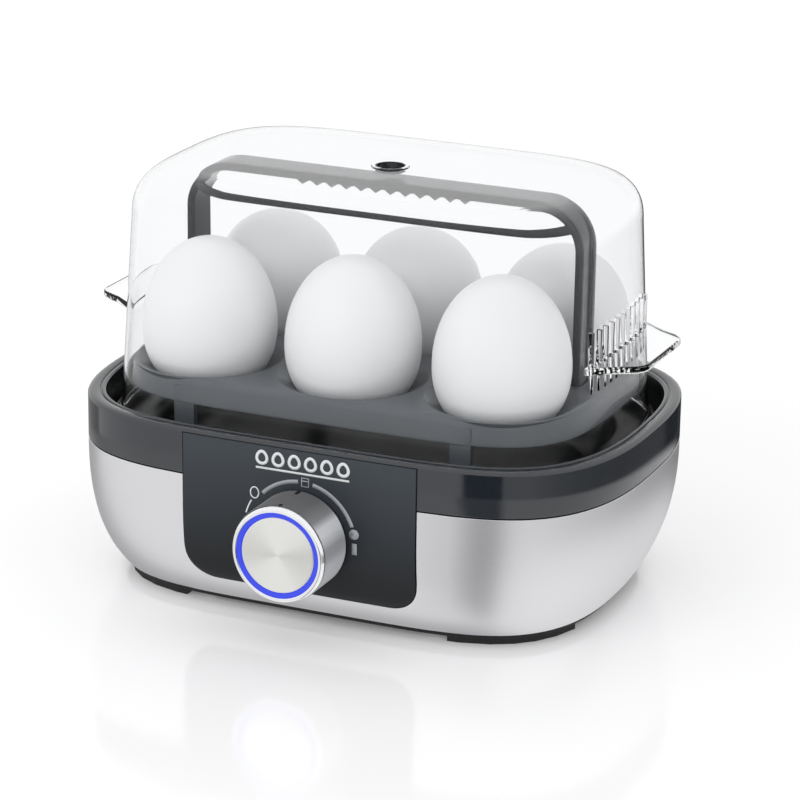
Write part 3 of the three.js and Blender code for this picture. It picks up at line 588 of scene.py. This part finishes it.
def make_shell():
    half, bottom, corner = PANEL_HALF + GAP, PANEL_BOTTOM - GAP, PANEL_CORNER + GAP
    sill = bottom + corner
    low = [SHELL_BOTTOM + (sill - SHELL_BOTTOM) * share for share in
           (0, 0.03, 0.08, 0.15, 0.24, 0.34, 0.46, 0.6, 0.75, 0.88, 1)]
    high = [24.5, 27.5, 31, 35, 39, 43, SHELL_TOP]
    levels = low + high
    round_way = round_columns(half)
    across = opening_columns(half, corner)[1:-1]
    points, index = [], {}
    for c, column in enumerate(round_way):
        for r, z in enumerate(levels):
            index[c, r] = len(points)
            points.append(column_point(column, half, 0, z))
    for k, x in enumerate(across):
        top = opening_floor(x, half, bottom, corner)
        for r, z in enumerate(low):
            lowered = SHELL_BOTTOM + (z - SHELL_BOTTOM) * (top - SHELL_BOTTOM) / (sill - SHELL_BOTTOM)
            index[len(round_way) + k, r] = len(points)
            points.append((x, front_y(x, lowered), lowered))
    faces = []
    total = len(round_way) + len(across)
    for c in range(total):
        following = (c + 1) % total
        rows = len(levels) if c + 1 < len(round_way) else len(low)
        for r in range(rows - 1):
            faces.append((index[c, r], index[following, r], index[following, r + 1], index[c, r + 1]))
    shell = new_piece("shell_skin", points, faces, steel)
    thicken(shell, 1.0)
    bevel(shell, 0.22, 2, 60)
    finish_piece(shell, "base", "steel_shell")


def make_collar():
    half = PANEL_HALF + GAP
    edge = half + 0.06
    step = PANEL_TOP + GAP
    bed = 2.9  # the front is this much further in behind the panel
    # Each row is (inset, z, inset across the front).
    rows = [
        (0.35, 47.1, bed), (0.1, 47.2, bed), (0.0, 47.5, bed), (0.0, 54, bed), (0.0, step - 0.12, bed),
        (0.0, step, 0.0), (0.1, 61.4, 0.1), (0.32, 61.75, 0.32), (0.68, 62.05, 0.68), (1.15, 62.22, 1.15),
        (1.7, COLLAR_TOP, 1.7), (3.3, 62.22, 3.3), (3.5, 62.1, 3.5), (3.6, 61.75, 3.6), (4.0, 61.7, 4.0),
        (4.1, 62.1, 4.1), (4.3, 62.26, 4.3), (4.9, 62.2, 4.9), (5.2, 62.0, 5.2), (5.4, 61.6, 5.4),
        (5.75, 57, 5.75), (6.1, 51.2, 6.1), (6.5, 50.3, 6.5), (7.3, 50, 7.3), (16.2, 50, 16.2),
        (16.6, 49.6, 16.6), (16.6, 48, 16.6), (5.9, 48, 5.9), (3.6, 47.6, 5.8), (3.6, 41.5, 5.8),
        (1.7, 41.5, 5.4), (1.5, 46.9, 5.4),
    ]
    across = [("front", 0, x) for x in opening_columns(half, PANEL_CORNER, 20, 4)]
    columns = round_columns(edge) + across
    points = []
    for inset, z, behind in rows:
        for column in columns:
            level = max(z, COLLAR_BOTTOM)
            amount = behind if column[0] == "front" else inset
            x, y, _ = column_point(column, edge, amount, level)
            lifted = step if column[0] == "front" and z == step - 0.12 else z
            points.append((x, y, lifted))
    collar = grid_piece("collar_moulding", points, len(rows), len(columns), anthracite, True, 50)
    # The inner rows take the darker copy, which is painted shade inside the collar.
    collar.data.materials.append(collar_inside_painted_shade)
    first_inner_row = 19
    for number, polygon in enumerate(collar.data.polygons):
        if number // len(columns) >= first_inner_row:
            polygon.material_index = 1
    finish_piece(collar, "base", "top_collar")


def make_base_rim():
    """The black bottom's edge, which shows as a thin dark line under the steel."""
    low, high = BASE_RIM_BOTTOM, BASE_RIM_TOP
    rows = [(*housing_level(inset, SHELL_BOTTOM), z, HOUSING_POWERS) for inset, z in (
        (1.2, high), (1.2, 2.4), (1.5, 1.9), (2.4, low), (6, low), (6, high),
    )]
    rim = loft("base_rim", rows, rubber, HOUSING_RING, True)
    finish_piece(rim, "base", None)


def make_panel():
    columns = opening_columns(PANEL_HALF, PANEL_CORNER, 24, 12)
    shares = [i / 22 for i in range(23)]
    points = []
    for x in columns:
        floor = opening_floor(x, PANEL_HALF, PANEL_BOTTOM, PANEL_CORNER)
        for share in shares:
            z = floor + (PANEL_TOP - floor) * share
            points.append((x, front_y(x, z, -PANEL_PROUD), z))
    rows = len(shares)
    faces = [
        (c * rows + r, (c + 1) * rows + r, (c + 1) * rows + r + 1, c * rows + r + 1)
        for c in range(len(columns) - 1) for r in range(rows - 1)
    ]
    panel = new_piece("panel_face", points, faces, panel_dark)
    if panel.data.polygons[0].normal.y > 0:
        panel.data.flip_normals()
    thicken(panel, 2.2)
    bevel(panel, 0.3, 3, 60)
    edge = HUB_RADIUS + GAP
    hole = turned_on_dial("hub_hole", [(edge, -8), (edge, 4)], black_plastic, 64, False)
    combine(panel, [hole], "DIFFERENCE")
    finish_piece(panel, "base", "control_panel")


# ---- Marks on the panel ----

def printed(name, strokes, material):
    """Thin printed lines on the panel. A stroke is (points in x and z, width, closed)."""
    points, faces = [], []
    for path, width, closed in strokes:
        start = len(points)
        count = len(path)
        for i, (x, z) in enumerate(path):
            before = path[(i - 1) % count] if closed or i > 0 else path[i]
            after = path[(i + 1) % count] if closed or i < count - 1 else path[i]
            dx, dz = after[0] - before[0], after[1] - before[1]
            length = math.hypot(dx, dz)
            for side in (-1, 1):
                px = x - side * dz / length * width / 2
                pz = z + side * dx / length * width / 2
                points.append((px, front_y(px, pz, -PANEL_PROUD) - 0.06, pz))
        steps = count if closed else count - 1
        for i in range(steps):
            j = (i + 1) % count
            faces.append((start + 2 * i, start + 2 * j, start + 2 * j + 1, start + 2 * i + 1))
    piece = new_piece(name, points, faces, material)
    for polygon in piece.data.polygons:
        if polygon.normal.y > 0:
            polygon.flip()
    thicken(piece, 0.05)
    finish_piece(piece, "base", None)


def on_dial(angle, radius):
    """A place round the dial, angle clockwise from the top."""
    turn = math.radians(angle)
    return DIAL_X + radius * math.sin(turn), DIAL_HEIGHT + radius * math.cos(turn)


def dial_arc(start, end, radius, steps=24):
    return [on_dial(start + (end - start) * i / steps, radius) for i in range(steps + 1)]


def egg_path(x, z, half_width, half_height, steps=28):
    path = []
    for i in range(steps):
        turn = 2 * math.pi * i / steps
        narrowing = 1 - 0.16 * math.sin(turn)
        path.append((x + half_width * narrowing * math.cos(turn), z + half_height * math.sin(turn)))
    return path


def make_marks():
    """The dial's scale, and a row of eggs where a maker would put a name."""
    printed("scale_arcs", [
        (dial_arc(-46, -3.5, SCALE_RADIUS), 1.3, False),
        (dial_arc(12, 70, SCALE_RADIUS), 1.3, False),
    ], print_grey)
    left = on_dial(-52, 20.6)
    printed("scale_low_mark", [
        (ring_path(*left, 1.45, 1.85), 0.42, True),
        (dial_arc(-74, -60, 20), 0.5, False),
    ], print_white)
    right = on_dial(77.5, SCALE_RADIUS)
    printed("scale_high_mark", [
        (ring_path(*right, 0.85, 0.85), 1.7, True),
        ([(right[0] + 0.1, right[1] - 3.0), (right[0] + 0.15, right[1] - 6.8)], 1.7, False),
    ], print_grey)
    top = on_dial(4, SCALE_RADIUS)
    square = [(top[0] - 1.2, top[1] - 1.3), (top[0] + 1.2, top[1] - 1.3),
              (top[0] + 1.2, top[1] + 1.5), (top[0] - 1.2, top[1] + 1.5)]
    printed("scale_top_mark", [
        (square, 0.42, True),
        ([(top[0] - 1.1, top[1] + 0.5), (top[0] + 1.1, top[1] + 0.5)], 0.4, False),
    ], print_grey)
    places = [EMBLEM_X + EMBLEM_PITCH * (i - 2.5) for i in range(6)]
    eggs = [(egg_path(x, EMBLEM_HEIGHT, 1.75, 2.0), 1.0, True) for x in places]
    under = EMBLEM_HEIGHT - 3.45
    line = ([(EMBLEM_X - 16.1, under), (EMBLEM_X + 16.1, under)], 0.7, False)
    printed("egg_emblem", [*eggs, line], print_white)


# ---- Dial ----

def make_dial():
    rim = DIAL_LENGTH
    ring = turned_on_dial("dial_barrel", [
        (10.6, -6.4), (11.4, -6.4), (11.4, 0.8), (15.5, 0.8), (15.8, 0.9), (16, 1.2), (16, 8),
        (16, rim - 2.6), (15.98, rim - 2.2), (15.85, rim - 1.9), (15.55, rim - 1.75), (15.5, rim - 1.5),
        (14.85, 3.2), (14.85, 3), (10.6, 3),
    ], chrome)
    slots = []
    for low, high in ((0.5, 4.2), (rim - 3.4, rim + 1)):
        above = DIAL_RADIUS + 0.5
        outline = [(DIAL_X - 1.5, above), (DIAL_X + 1.5, above), (DIAL_X, DIAL_RADIUS - 0.4)]
        points = [(x, PANEL_FACE - out, DIAL_HEIGHT + z) for out in (low, high) for x, z in outline]
        slots.append(new_piece("dial_slot", points, WEDGE_FACES, black_plastic))
    ring.data.materials.append(black_plastic)
    combine(ring, slots, "DIFFERENCE")
    finish_piece(ring, "dial", "dial_ring")

    rim_ring = turned_on_dial("dial_rim", [
        (15.45, rim - 1.7), (15.8, rim - 1.6), (15.84, rim - 1.35), (15.72, rim - 0.85), (15.45, rim - 0.4),
        (15.1, rim - 0.12), (14.8, rim - 0.04), (14.35, rim - 0.06), (14.1, rim - 0.16), (14.02, rim - 0.38),
        (14.1, rim - 0.45), (14.66, rim - 0.45), (14.66, rim - 1.7),
    ], bright_rim)
    finish_piece(rim_ring, "dial", None)

    guide = turned_on_dial("light_ring", [
        (12.6, 13.5), (12.6, rim - 0.65), (12.65, rim - 0.56), (12.8, rim - 0.5), (14.2, rim - 0.5),
        (14.42, rim - 0.58), (14.5, rim - 0.8), (14.5, 3.4), (10.2, 3.4), (10.2, -7.3),
        (8.6, -7.3), (8.6, 13.5),
    ], blue_glow)
    finish_piece(guide, "base", "light_guide")

    button = turned_on_dial("button_cap", [
        (3, 2), (3, rim - 2.6), (12.1, rim - 2.6), (12.35, rim - 2.4), (12.4, rim - 2.1), (12.4, rim - 0.8),
        (12.34, rim - 0.6), (12.2, rim - 0.48), (12.0, rim - 0.44), (11.6, rim - 0.42), (0.3, rim - 0.42),
    ], spun, closed=False)
    finish_piece(button, "button", "start_button")


# ---- Dish, carrier and handle ----

def inner_level(a, z):
    return a, a - (HOUSING_A - HOUSING_B), z, HOUSING_POWERS


HOUSING_RING = ring_angles(HOUSING_A, HOUSING_B, HOUSING_POWERS, 24)


def make_dish():
    top = 52.2
    rows = [inner_level(a, z) for a, z in (
        (60, 40.2), (64, 40.5), (67.3, 41.4), (69.5, 43.6), (71.2, 46.4), (72.6, 49.4), (73.8, 51.3),
        (75.4, top), (84.9, top), (85.3, 52), (85.4, 51.7), (85.3, 51.3), (76, 51.2), (73.8, 49.6),
        (70.8, 46.2), (68, 39.6), (61, 38.8),
    )]
    dish = loft("dish_pan", rows, non_stick, HOUSING_RING, closed=False)
    studs = [turned("stud", [(1.5, 25.4), (1.5, 39.8)], steel, (side * 42, 0), 24) for side in (-1, 1)]
    combine(dish, studs, "UNION")
    finish_piece(dish, "base", "heating_dish")


def carrier_level(a, z):
    return a, a - (CARRIER_A - CARRIER_B), z, INNER_POWERS


def make_carrier():
    top = CARRIER_TOP
    rows = [carrier_level(CARRIER_A - inset, z) for inset, z in (
        (6, top), (3.2, top), (2.4, top - 0.14), (1.7, top - 0.5), (1.15, top - 1.05), (0.8, top - 1.8),
        (0.6, top - 2.7), (0.1, CARRIER_SKIRT + 0.6), (0.15, CARRIER_SKIRT + 0.2), (0.5, CARRIER_SKIRT),
        (1.6, CARRIER_SKIRT), (2.0, CARRIER_SKIRT + 0.4), (2.4, top - 3.4), (3.2, top - 2.2), (4.2, top - 2),
    )]
    carrier = loft("carrier_tray", rows, grey_plastic, closed=False)
    cups = [turned("cup", [
        (SEAT_HOLE + 1.8, 67), (SEAT_RADIUS - 0.6, top - 2.2), (SEAT_RADIUS + 0.4, top - 0.6),
    ], grey_plastic, seat, 72) for seat in SEATS]
    legs = []
    for sx in (-1, 1):
        for sy in (-1, 1):
            xs, ys = sorted((sx * 44.5, sx * 51.5)), sorted((sy * 49, sy * 51.4))
            legs.append(block("leg", xs, ys, (52.5, top - 3), grey_plastic))
    combine(carrier, cups + legs, "UNION")
    hollows = [turned("hollow", [
        (SEAT_HOLE, 60), (SEAT_HOLE, 68.2), (SEAT_HOLE + 0.25, 68.7), (SEAT_HOLE + 0.8, 69.1),
        (SEAT_RADIUS - 2.2, top - 1.4), (SEAT_RADIUS - 0.9, top - 0.6), (SEAT_RADIUS, top + 0.02),
        (SEAT_RADIUS + 0.4, 80),
    ], grey_plastic, seat, 72) for seat in SEATS]
    slots = []
    for side in (-1, 1):
        xs = sorted((side * (HANDLE_X + GAP), side * (HANDLE_X - HANDLE_THICKNESS - GAP)))
        slots.append(block("slot", xs, (-4.1, 4.1), (60, 80), grey_plastic))
    combine(carrier, hollows + slots, "DIFFERENCE")
    weigh_normals(carrier, 28)
    finish_piece(carrier, "carrier", "egg_carrier")


def handle_stations():
    """The handle's outer line as (x, z, outward x, outward z, share of groove), left foot to right foot."""
    foot, turn = CARRIER_TOP + GAP, HANDLE_TOP - HANDLE_BEND
    stations = []
    for i in range(13):
        stations.append((-HANDLE_X, foot + (turn - foot) * i / 12, -1, 0, 0 if i == 0 else 1))
    steps = 14
    for i in range(1, steps + 1):
        angle = math.radians(180 - 90 * i / steps)
        c, s = math.cos(angle), math.sin(angle)
        fade = max(0.0, 1 - i / (steps * 0.7))
        stations.append((-HANDLE_X + HANDLE_BEND + HANDLE_BEND * c, turn + HANDLE_BEND * s, c, s, fade))
    for i in range(1, 12):
        share = i / 12
        stations.append(((HANDLE_X - HANDLE_BEND) * (2 * share - 1), HANDLE_TOP, 0, 1, 0))
    mirrored = [(-x, z, -nx, nz, groove) for x, z, nx, nz, groove in reversed(stations[:13 + steps])]
    return stations + mirrored


def handle_section(depth):
    """The band's cross-section as (across, inward), with a channel of the given depth down its outside."""
    half, t, r = HANDLE_WIDTH / 2, HANDLE_THICKNESS, 0.55
    outer = [(-half + r, 0), (-4.3, 0), (-3.9, depth * 0.15), (-3.6, depth),
             (3.6, depth), (3.9, depth * 0.15), (4.3, 0), (half - r, 0)]
    corners = [(half - r * 0.29, r * 0.29), (half, r), (half, t - r), (half - r * 0.29, t - r * 0.29),
               (half - r, t), (-half + r, t), (-half + r * 0.29, t - r * 0.29), (-half, t - r), (-half, r),
               (-half + r * 0.29, r * 0.29)]
    return outer + corners


def bar_piece():
    """The slim bar in front of the band, thicker where it grows out of the bends."""
    front = -HANDLE_WIDTH / 2
    x = HANDLE_X
    half = [
        (x - 4.0, front + 2.4, 125.0, 1.6), (x - 5.6, front + 0.2, 124.8, 1.6),
        (x - 9.0, front - 2.9, 124.4, 1.5), (x - 13.8, front - 5.0, 124.0, 1.4),
        (x - 20, front - 6.2, 123.8, 1.28), (x - 42, front - 6.7, 123.7, 1.15),
    ]
    path = [(-px, py, pz, r) for px, py, pz, r in half] + [(0, front - 6.8, 123.7, 1.1)] + half[::-1]
    dense = []
    for i in range(len(path) - 1):
        before, first = path[max(0, i - 1)], path[i]
        second, after = path[i + 1], path[min(len(path) - 1, i + 2)]
        for k in range(6):
            t = k / 6
            dense.append(tuple(
                0.5 * (2 * b + (c - a) * t + (2 * a - 5 * b + 4 * c - d) * t * t
                       + (3 * b - a - 3 * c + d) * t ** 3)
                for a, b, c, d in zip(before, first, second, after)
            ))
    dense.append(path[-1])
    points, sides = [], 16
    for i, (px, py, pz, radius) in enumerate(dense):
        before, after = Vector(dense[max(0, i - 1)][:3]), Vector(dense[min(len(dense) - 1, i + 1)][:3])
        along = (after - before).normalized()
        across = along.cross(Vector((0, 0, 1))).normalized()
        up = across.cross(along)
        for k in range(sides):
            turn = 2 * math.pi * k / sides
            point = Vector((px, py, pz)) + across * radius * math.cos(turn)
            points.append(tuple(point + up * radius * math.sin(turn)))
    return grid_piece("bar", points, len(dense), sides, handle_plastic, False)


def make_handle():
    points = []
    stations = handle_stations()
    section = handle_section(1.0)
    flat = handle_section(0.0)
    for x, z, nx, nz, groove in stations:
        for (u, v), (_, w) in zip(section, flat):
            inward = w + (v - w) * groove
            points.append((x - nx * inward, u, z - nz * inward))
    band = grid_piece("handle_band", points, len(stations), len(section), handle_plastic, False)
    extras = [bar_piece()]
    low = CARRIER_TOP - 6
    for side in (-1, 1):
        inner, outer, catch = side * (HANDLE_X - HANDLE_THICKNESS), side * HANDLE_X, side * (HANDLE_X + 1)
        for name, end, top in (("hook", outer, CARRIER_TOP + GAP + 1), ("catch", catch, CARRIER_TOP - 2.7)):
            extras.append(block(name, sorted((inner, end)), (-3.8, 3.8), (low, top), handle_plastic))
    front = -HANDLE_WIDTH / 2
    under = HANDLE_TOP - HANDLE_THICKNESS
    for i in range(TOOTH_COUNT):
        x = (i - (TOOTH_COUNT - 1) / 2) * TOOTH_PITCH
        wedge = [(x - 1.5, front + 0.1, under + 0.3), (x + 0.7, front + 0.1, under + 0.3),
                 (x + 0.7, front + 0.3, under - 1.3), (x - 1.5, -front - 0.3, under + 0.3),
                 (x + 0.7, -front - 0.3, under + 0.3), (x + 0.7, -front - 0.5, under - 1.3)]
        extras.append(new_piece("tooth", wedge, WEDGE_FACES, handle_plastic))
    combine(band, extras, "UNION")
    weigh_normals(band, 40)
    finish_piece(band, "carrier", "carrier_handle")


# ---- Lid ----

def lid_rows(inset):
    """Rows of the lid's wall from its foot to the edge of its flat top, moved in by inset."""
    def row(a, b, z, squareness):
        powers = tuple(p + (q - p) * squareness for p, q in zip(HOUSING_POWERS, INNER_POWERS))
        return a - inset, b - inset, z, powers

    rows = [
        row(84.6, 57.6, 56.2, 0.3), row(83.9, 56.8, 57.6, 0.45), row(83.4, 56.3, 59, 0.65),
        row(83.05, 55.95, 60.8, 0.8), row(82.75, 55.65, 63.4, 0.93), row(LID_LOW_A, LID_LOW_B, LID_LOW, 1),
    ]
    wall_top = LID_TOP - LID_EDGE
    for i in range(1, 13):
        share = i / 12
        z = LID_LOW + (wall_top - LID_LOW) * share
        rows.append(row(LID_LOW_A - LID_LEAN_A * share, LID_LOW_B - LID_LEAN_B * share, z, 1))
    high_a, high_b = LID_LOW_A - LID_LEAN_A, LID_LOW_B - LID_LEAN_B
    steps, reach, fullness = 24, LID_EDGE - inset, 2 / 2.35
    for i in range(1, steps + 1):
        angle = math.pi / 2 * i / steps
        move = reach * (1 - max(0.0, math.cos(angle)) ** fullness)
        rows.append(row(high_a - move, high_b - move, wall_top + reach * math.sin(angle) ** fullness, 1))
    for step in (0.4, 1.2, 4, 12, 24):
        rows.append(row(high_a - reach - step, high_b - reach - step, wall_top + reach, 1))
    return rows


def lid_foot(pairs):
    """Rows of the lid's rolled foot, from pairs of (inset, z)."""
    rows = [(LID_RIM_A - inset, z) for inset, z in pairs]
    return [(a, a - LID_RIM_STEP, z, HOUSING_POWERS) for a, z in rows]


def vent_ring(name, pairs, material, closed=False):
    """A ring about the steam vent, from pairs of (distance past its wall, height over the lid's top)."""
    rows = [(VENT_RADIUS + out, LID_TOP + up) for out, up in pairs]
    return turned(name, rows, material, (0, VENT_Y), 64, closed)


def grip_outline(side):
    end, root, tip = GRIP_END_X, 28.5, 20.0
    right = [(68, -root), (78, -root), (81, -root + 0.4), (end - 9, -tip - 3.0)]
    right += arc((end - 7.5, -tip + 6.5), 7.5, -62, 0, 8)
    right += [(x, -y) for x, y in reversed(right)]
    return [(side * x, y) for x, y in right]


def make_lid():
    foot = lid_foot((
        (1.7, 52.7), (1.0, 52.72), (0.4, 52.85), (0.1, 53.1), (0.0, 53.5), (0.1, 53.95), (0.5, 54.4),
        (1.3, 54.95),
    ))
    lid = loft("lid_dome", foot + lid_rows(0), clear, closed=False)
    extras = []
    for side in (-1, 1):
        grip = prism("grip", grip_outline(side), GRIP_TOP - GRIP_THICKNESS, GRIP_TOP, clear)
        bevel(grip, 0.8, 3, 50)
        extras.append(grip)
    for i in range(RIB_COUNT):
        y = (i - (RIB_COUNT - 1) / 2) * RIB_PITCH
        wall_x = RIB_WALL_A * (1 - (abs(y) / RIB_WALL_B) ** INNER_POWERS[1]) ** (1 / INNER_POWERS[0])
        xs, ys = (wall_x - 4, wall_x + RIB_PROUD), (y - RIB_WIDTH / 2, y + RIB_WIDTH / 2)
        rib = block("rib", xs, ys, (GRIP_TOP - 9.5, GRIP_TOP + 10.5), clear)
        bevel(rib, 0.35, 2, 50)
        extras.append(rib)
    extras.append(vent_ring("vent_rim", ((1.3, -1), (1.3, 0.2), (1.1, 0.42), (0.8, 0.5), (0.2, 0.5)), clear))
    combine(lid, extras, "UNION")
    hollow = lid_foot(((1.9, 50), (1.9, 53.2), (2.2, 54.2), (3.0, 55.2)))
    cavity = loft("cavity", hollow + lid_rows(LID_WALL), clear, closed=False)
    vent = vent_ring("vent", ((0, -5), (0, 5)), clear)
    combine(lid, [cavity, vent], "DIFFERENCE")
    weigh_normals(lid)
    lid.visible_diffuse = False
    finish_piece(lid, "lid", "lid")

    # A dark sleeve lines the steam vent: painted shade, so the hole looks dark.
    sleeve = vent_ring("vent_sleeve", (
        (-0.05, -1.9), (-0.05, 0.3), (-0.25, 0.42), (-0.45, 0.3), (-0.5, -1.9),
    ), vent_shade_plastic, True)
    finish_piece(sleeve, "lid", None)


# ---- Props and stage ----

def make_eggs():
    """Six hen's eggs, blunt end down, standing in the cups."""
    shell = moulded("egg_white", srgb(233, 233, 234), 0.42, grain=1400, bump=0.06, mottle=0.99)
    for number, seat in enumerate(SEATS):
        rows = []
        top = EGG_TOP if seat[1] < 0 else REAR_EGG_TOP
        for i in range(49):
            t = -math.cos(math.pi * i / 48)
            reach, fullness = (top - EGG_WAIST, 2.06) if t > 0 else (EGG_WAIST - EGG_BOTTOM, 2.2)
            radius = EGG_RADIUS * max(0.0, 1 - abs(t) ** fullness) ** 0.5
            rows.append((max(radius, 0.05), EGG_WAIST + reach * t))
        egg = turned(f"prop_egg_{number + 1}", rows, shell, seat, 72)
        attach(egg, "carrier")


def make_floor():
    material, tree, shader = new_material("floor_white")
    shader.inputs["Specular IOR Level"].default_value = 0.4
    shader.inputs["Emission Color"].default_value = (1, 1, 1, 1)
    shader.inputs["Emission Strength"].default_value = 0.115
    base = blend(tree, noise(tree, 3, 3), (0.845, 0.845, 0.85, 1), (0.855, 0.855, 0.86, 1))
    tree.links.new(base, shader.inputs["Base Color"])
    tree.links.new(spread(tree, noise(tree, 12, 3), 0.10, 0.13), shader.inputs["Roughness"])
    half = 6000
    points = [(-half, -half, 0), (half, -half, 0), (half, half, 0), (-half, half, 0)]
    floor = new_piece("floor", points, [(0, 1, 2, 3)], material)
    if floor.data.polygons[0].normal.z < 0:
        floor.data.flip_normals()
    floor.location.z = -0.0001
    floor.visible_glossy = False


# The studio seen in the polished parts: brightness by compass direction in degrees, from the back (0)
# round by the left, the front (180) and the right to the back again (360).
WALLS = (
    (0, 0.05), (12, 0.05), (30, 0.1), (34, 0.34), (76, 0.34), (82, 0.88), (176.5, 0.84), (178.5, 0.02),
    (201, 0.02), (203, 0.56), (225, 0.56), (250, 0.4), (285, 0.24), (320, 0.14), (343, 0.12),
    (347, 0.03), (360, 0.03),
)
# The same lower down, where the tucked-in steel looks.
LOW_WALLS = (
    (0, 0.8), (15, 0.55), (40, 0.42), (76, 0.5), (104, 0.86), (140, 0.92), (172, 0.92), (179, 0.24),
    (198, 0.24), (206, 0.96), (300, 0.98), (345, 0.9), (360, 0.8),
)
OVERHEAD = 1.0


def calculate(tree, operation, *values):
    node = tree.nodes.new("ShaderNodeMath")
    node.operation = operation
    for socket, value in zip(node.inputs, values):
        feed(tree, value, socket)
    return node.outputs["Value"]


def compass_level(tree, share, levels):
    """A brightness curve over the compass, from pairs of (degrees, level)."""
    ramp = tree.nodes.new("ShaderNodeFloatCurve")
    ramp.mapping.clip_max_y = 4
    curve = ramp.mapping.curves[0]
    for i, (degrees, level) in enumerate(levels):
        if i < 2:
            curve.points[i].location = (degrees / 360, level)
        else:
            curve.points.new(degrees / 360, level)
    for point in curve.points:
        point.handle_type = "VECTOR"
    ramp.mapping.update()
    tree.links.new(share, ramp.inputs["Value"])
    return ramp.outputs["Value"]


def blend_by_height(tree, height, low_angle, high_angle, low, high):
    """Goes from one brightness to another between two angles above the horizon."""
    start, end = (math.sin(math.radians(angle)) for angle in (low_angle, high_angle))
    share = map_range(tree, height, start, end, interpolation="SMOOTHSTEP")
    return blend(tree, share, low, high, "FLOAT")


def make_world():
    """White overhead, with walls whose brightness changes round the compass."""
    world = bpy.data.worlds.new("studio")
    world.use_nodes = True
    tree = world.node_tree
    where = tree.nodes.new("ShaderNodeTexCoord")
    parts = tree.nodes.new("ShaderNodeSeparateXYZ")
    tree.links.new(where.outputs["Generated"], parts.inputs["Vector"])
    forward = calculate(tree, "MULTIPLY", parts.outputs["Y"], -1.0)
    turn = calculate(tree, "ARCTAN2", parts.outputs["X"], forward)
    share = calculate(tree, "ADD", calculate(tree, "DIVIDE", turn, 2 * math.pi), 0.5)
    height = parts.outputs["Z"]
    walls = blend_by_height(
        tree, height, -23, -19.8, compass_level(tree, share, LOW_WALLS), compass_level(tree, share, WALLS)
    )
    background = tree.nodes["Background"]
    background.inputs["Color"].default_value = (1, 1, 1, 1)
    tree.links.new(blend_by_height(tree, height, -12, -2, walls, OVERHEAD), background.inputs["Strength"])
    bpy.context.scene.world = world


def make_light():
    scene = bpy.context.scene
    make_world()
    data = bpy.data.lights.new("key", "AREA")
    data.shape = "RECTANGLE"
    data.size, data.size_y = KEY_SIZE
    data.energy = KEY_POWER
    key = bpy.data.objects.new("key", data)
    scene.collection.objects.link(key)
    key.location = KEY_PLACE
    key.rotation_euler = (Vector(KEY_AIM) - Vector(KEY_PLACE)).to_track_quat("-Z", "Y").to_euler()
    key.visible_glossy = False
    key.visible_transmission = False
    scene.cycles.sample_clamp_indirect = 4
    scene.cycles.blur_glossy = 0.5
    scene.cycles.max_bounces = 16
    scene.cycles.transmission_bounces = 12
    scene.cycles.transparent_max_bounces = 16
    scene.view_settings.view_transform = "Standard"
    scene.view_settings.look = "None"


def make_camera():
    """A long lens from the front right, a little above, rolled by under a degree."""
    turn, lift, roll = (math.radians(angle) for angle in (CAMERA_TURN, CAMERA_LIFT, CAMERA_ROLL))
    target = Vector((CAMERA_TARGET_X, BACK, CAMERA_TARGET_Z)) * MM
    back = Vector((math.sin(turn) * math.cos(lift), -math.cos(turn) * math.cos(lift), math.sin(lift)))
    level_right = Vector((math.cos(turn), math.sin(turn), 0))
    level_up = back.cross(level_right)
    right = level_right * math.cos(roll) + level_up * math.sin(roll)
    up = level_up * math.cos(roll) - level_right * math.sin(roll)
    data = bpy.data.cameras.new("camera")
    data.lens = CAMERA_LENS
    data.sensor_width = 36
    data.clip_end = 50
    camera = bpy.data.objects.new("camera", data)
    place = target + back * CAMERA_DISTANCE
    camera.matrix_world = Matrix((
        (right.x, up.x, back.x, place.x), (right.y, up.y, back.y, place.y),
        (right.z, up.z, back.z, place.z), (0, 0, 0, 1),
    ))
    bpy.context.scene.collection.objects.link(camera)
    bpy.context.scene.camera = camera


# ---- Build ----

make_camera()
slot_of = {part["node"]: part["material_slot"] for part in frame["record"]["subparts"]}
for node, piece in frame["nodes"].items():
    piece.data.materials.clear()
    piece.data.materials.append(SLOT_MATERIALS[slot_of[node]])

make_shell()
make_base_rim()
make_collar()
make_panel()
make_marks()
make_dial()
make_dish()
make_carrier()
make_handle()
make_lid()
make_eggs()

make_floor()
make_light()
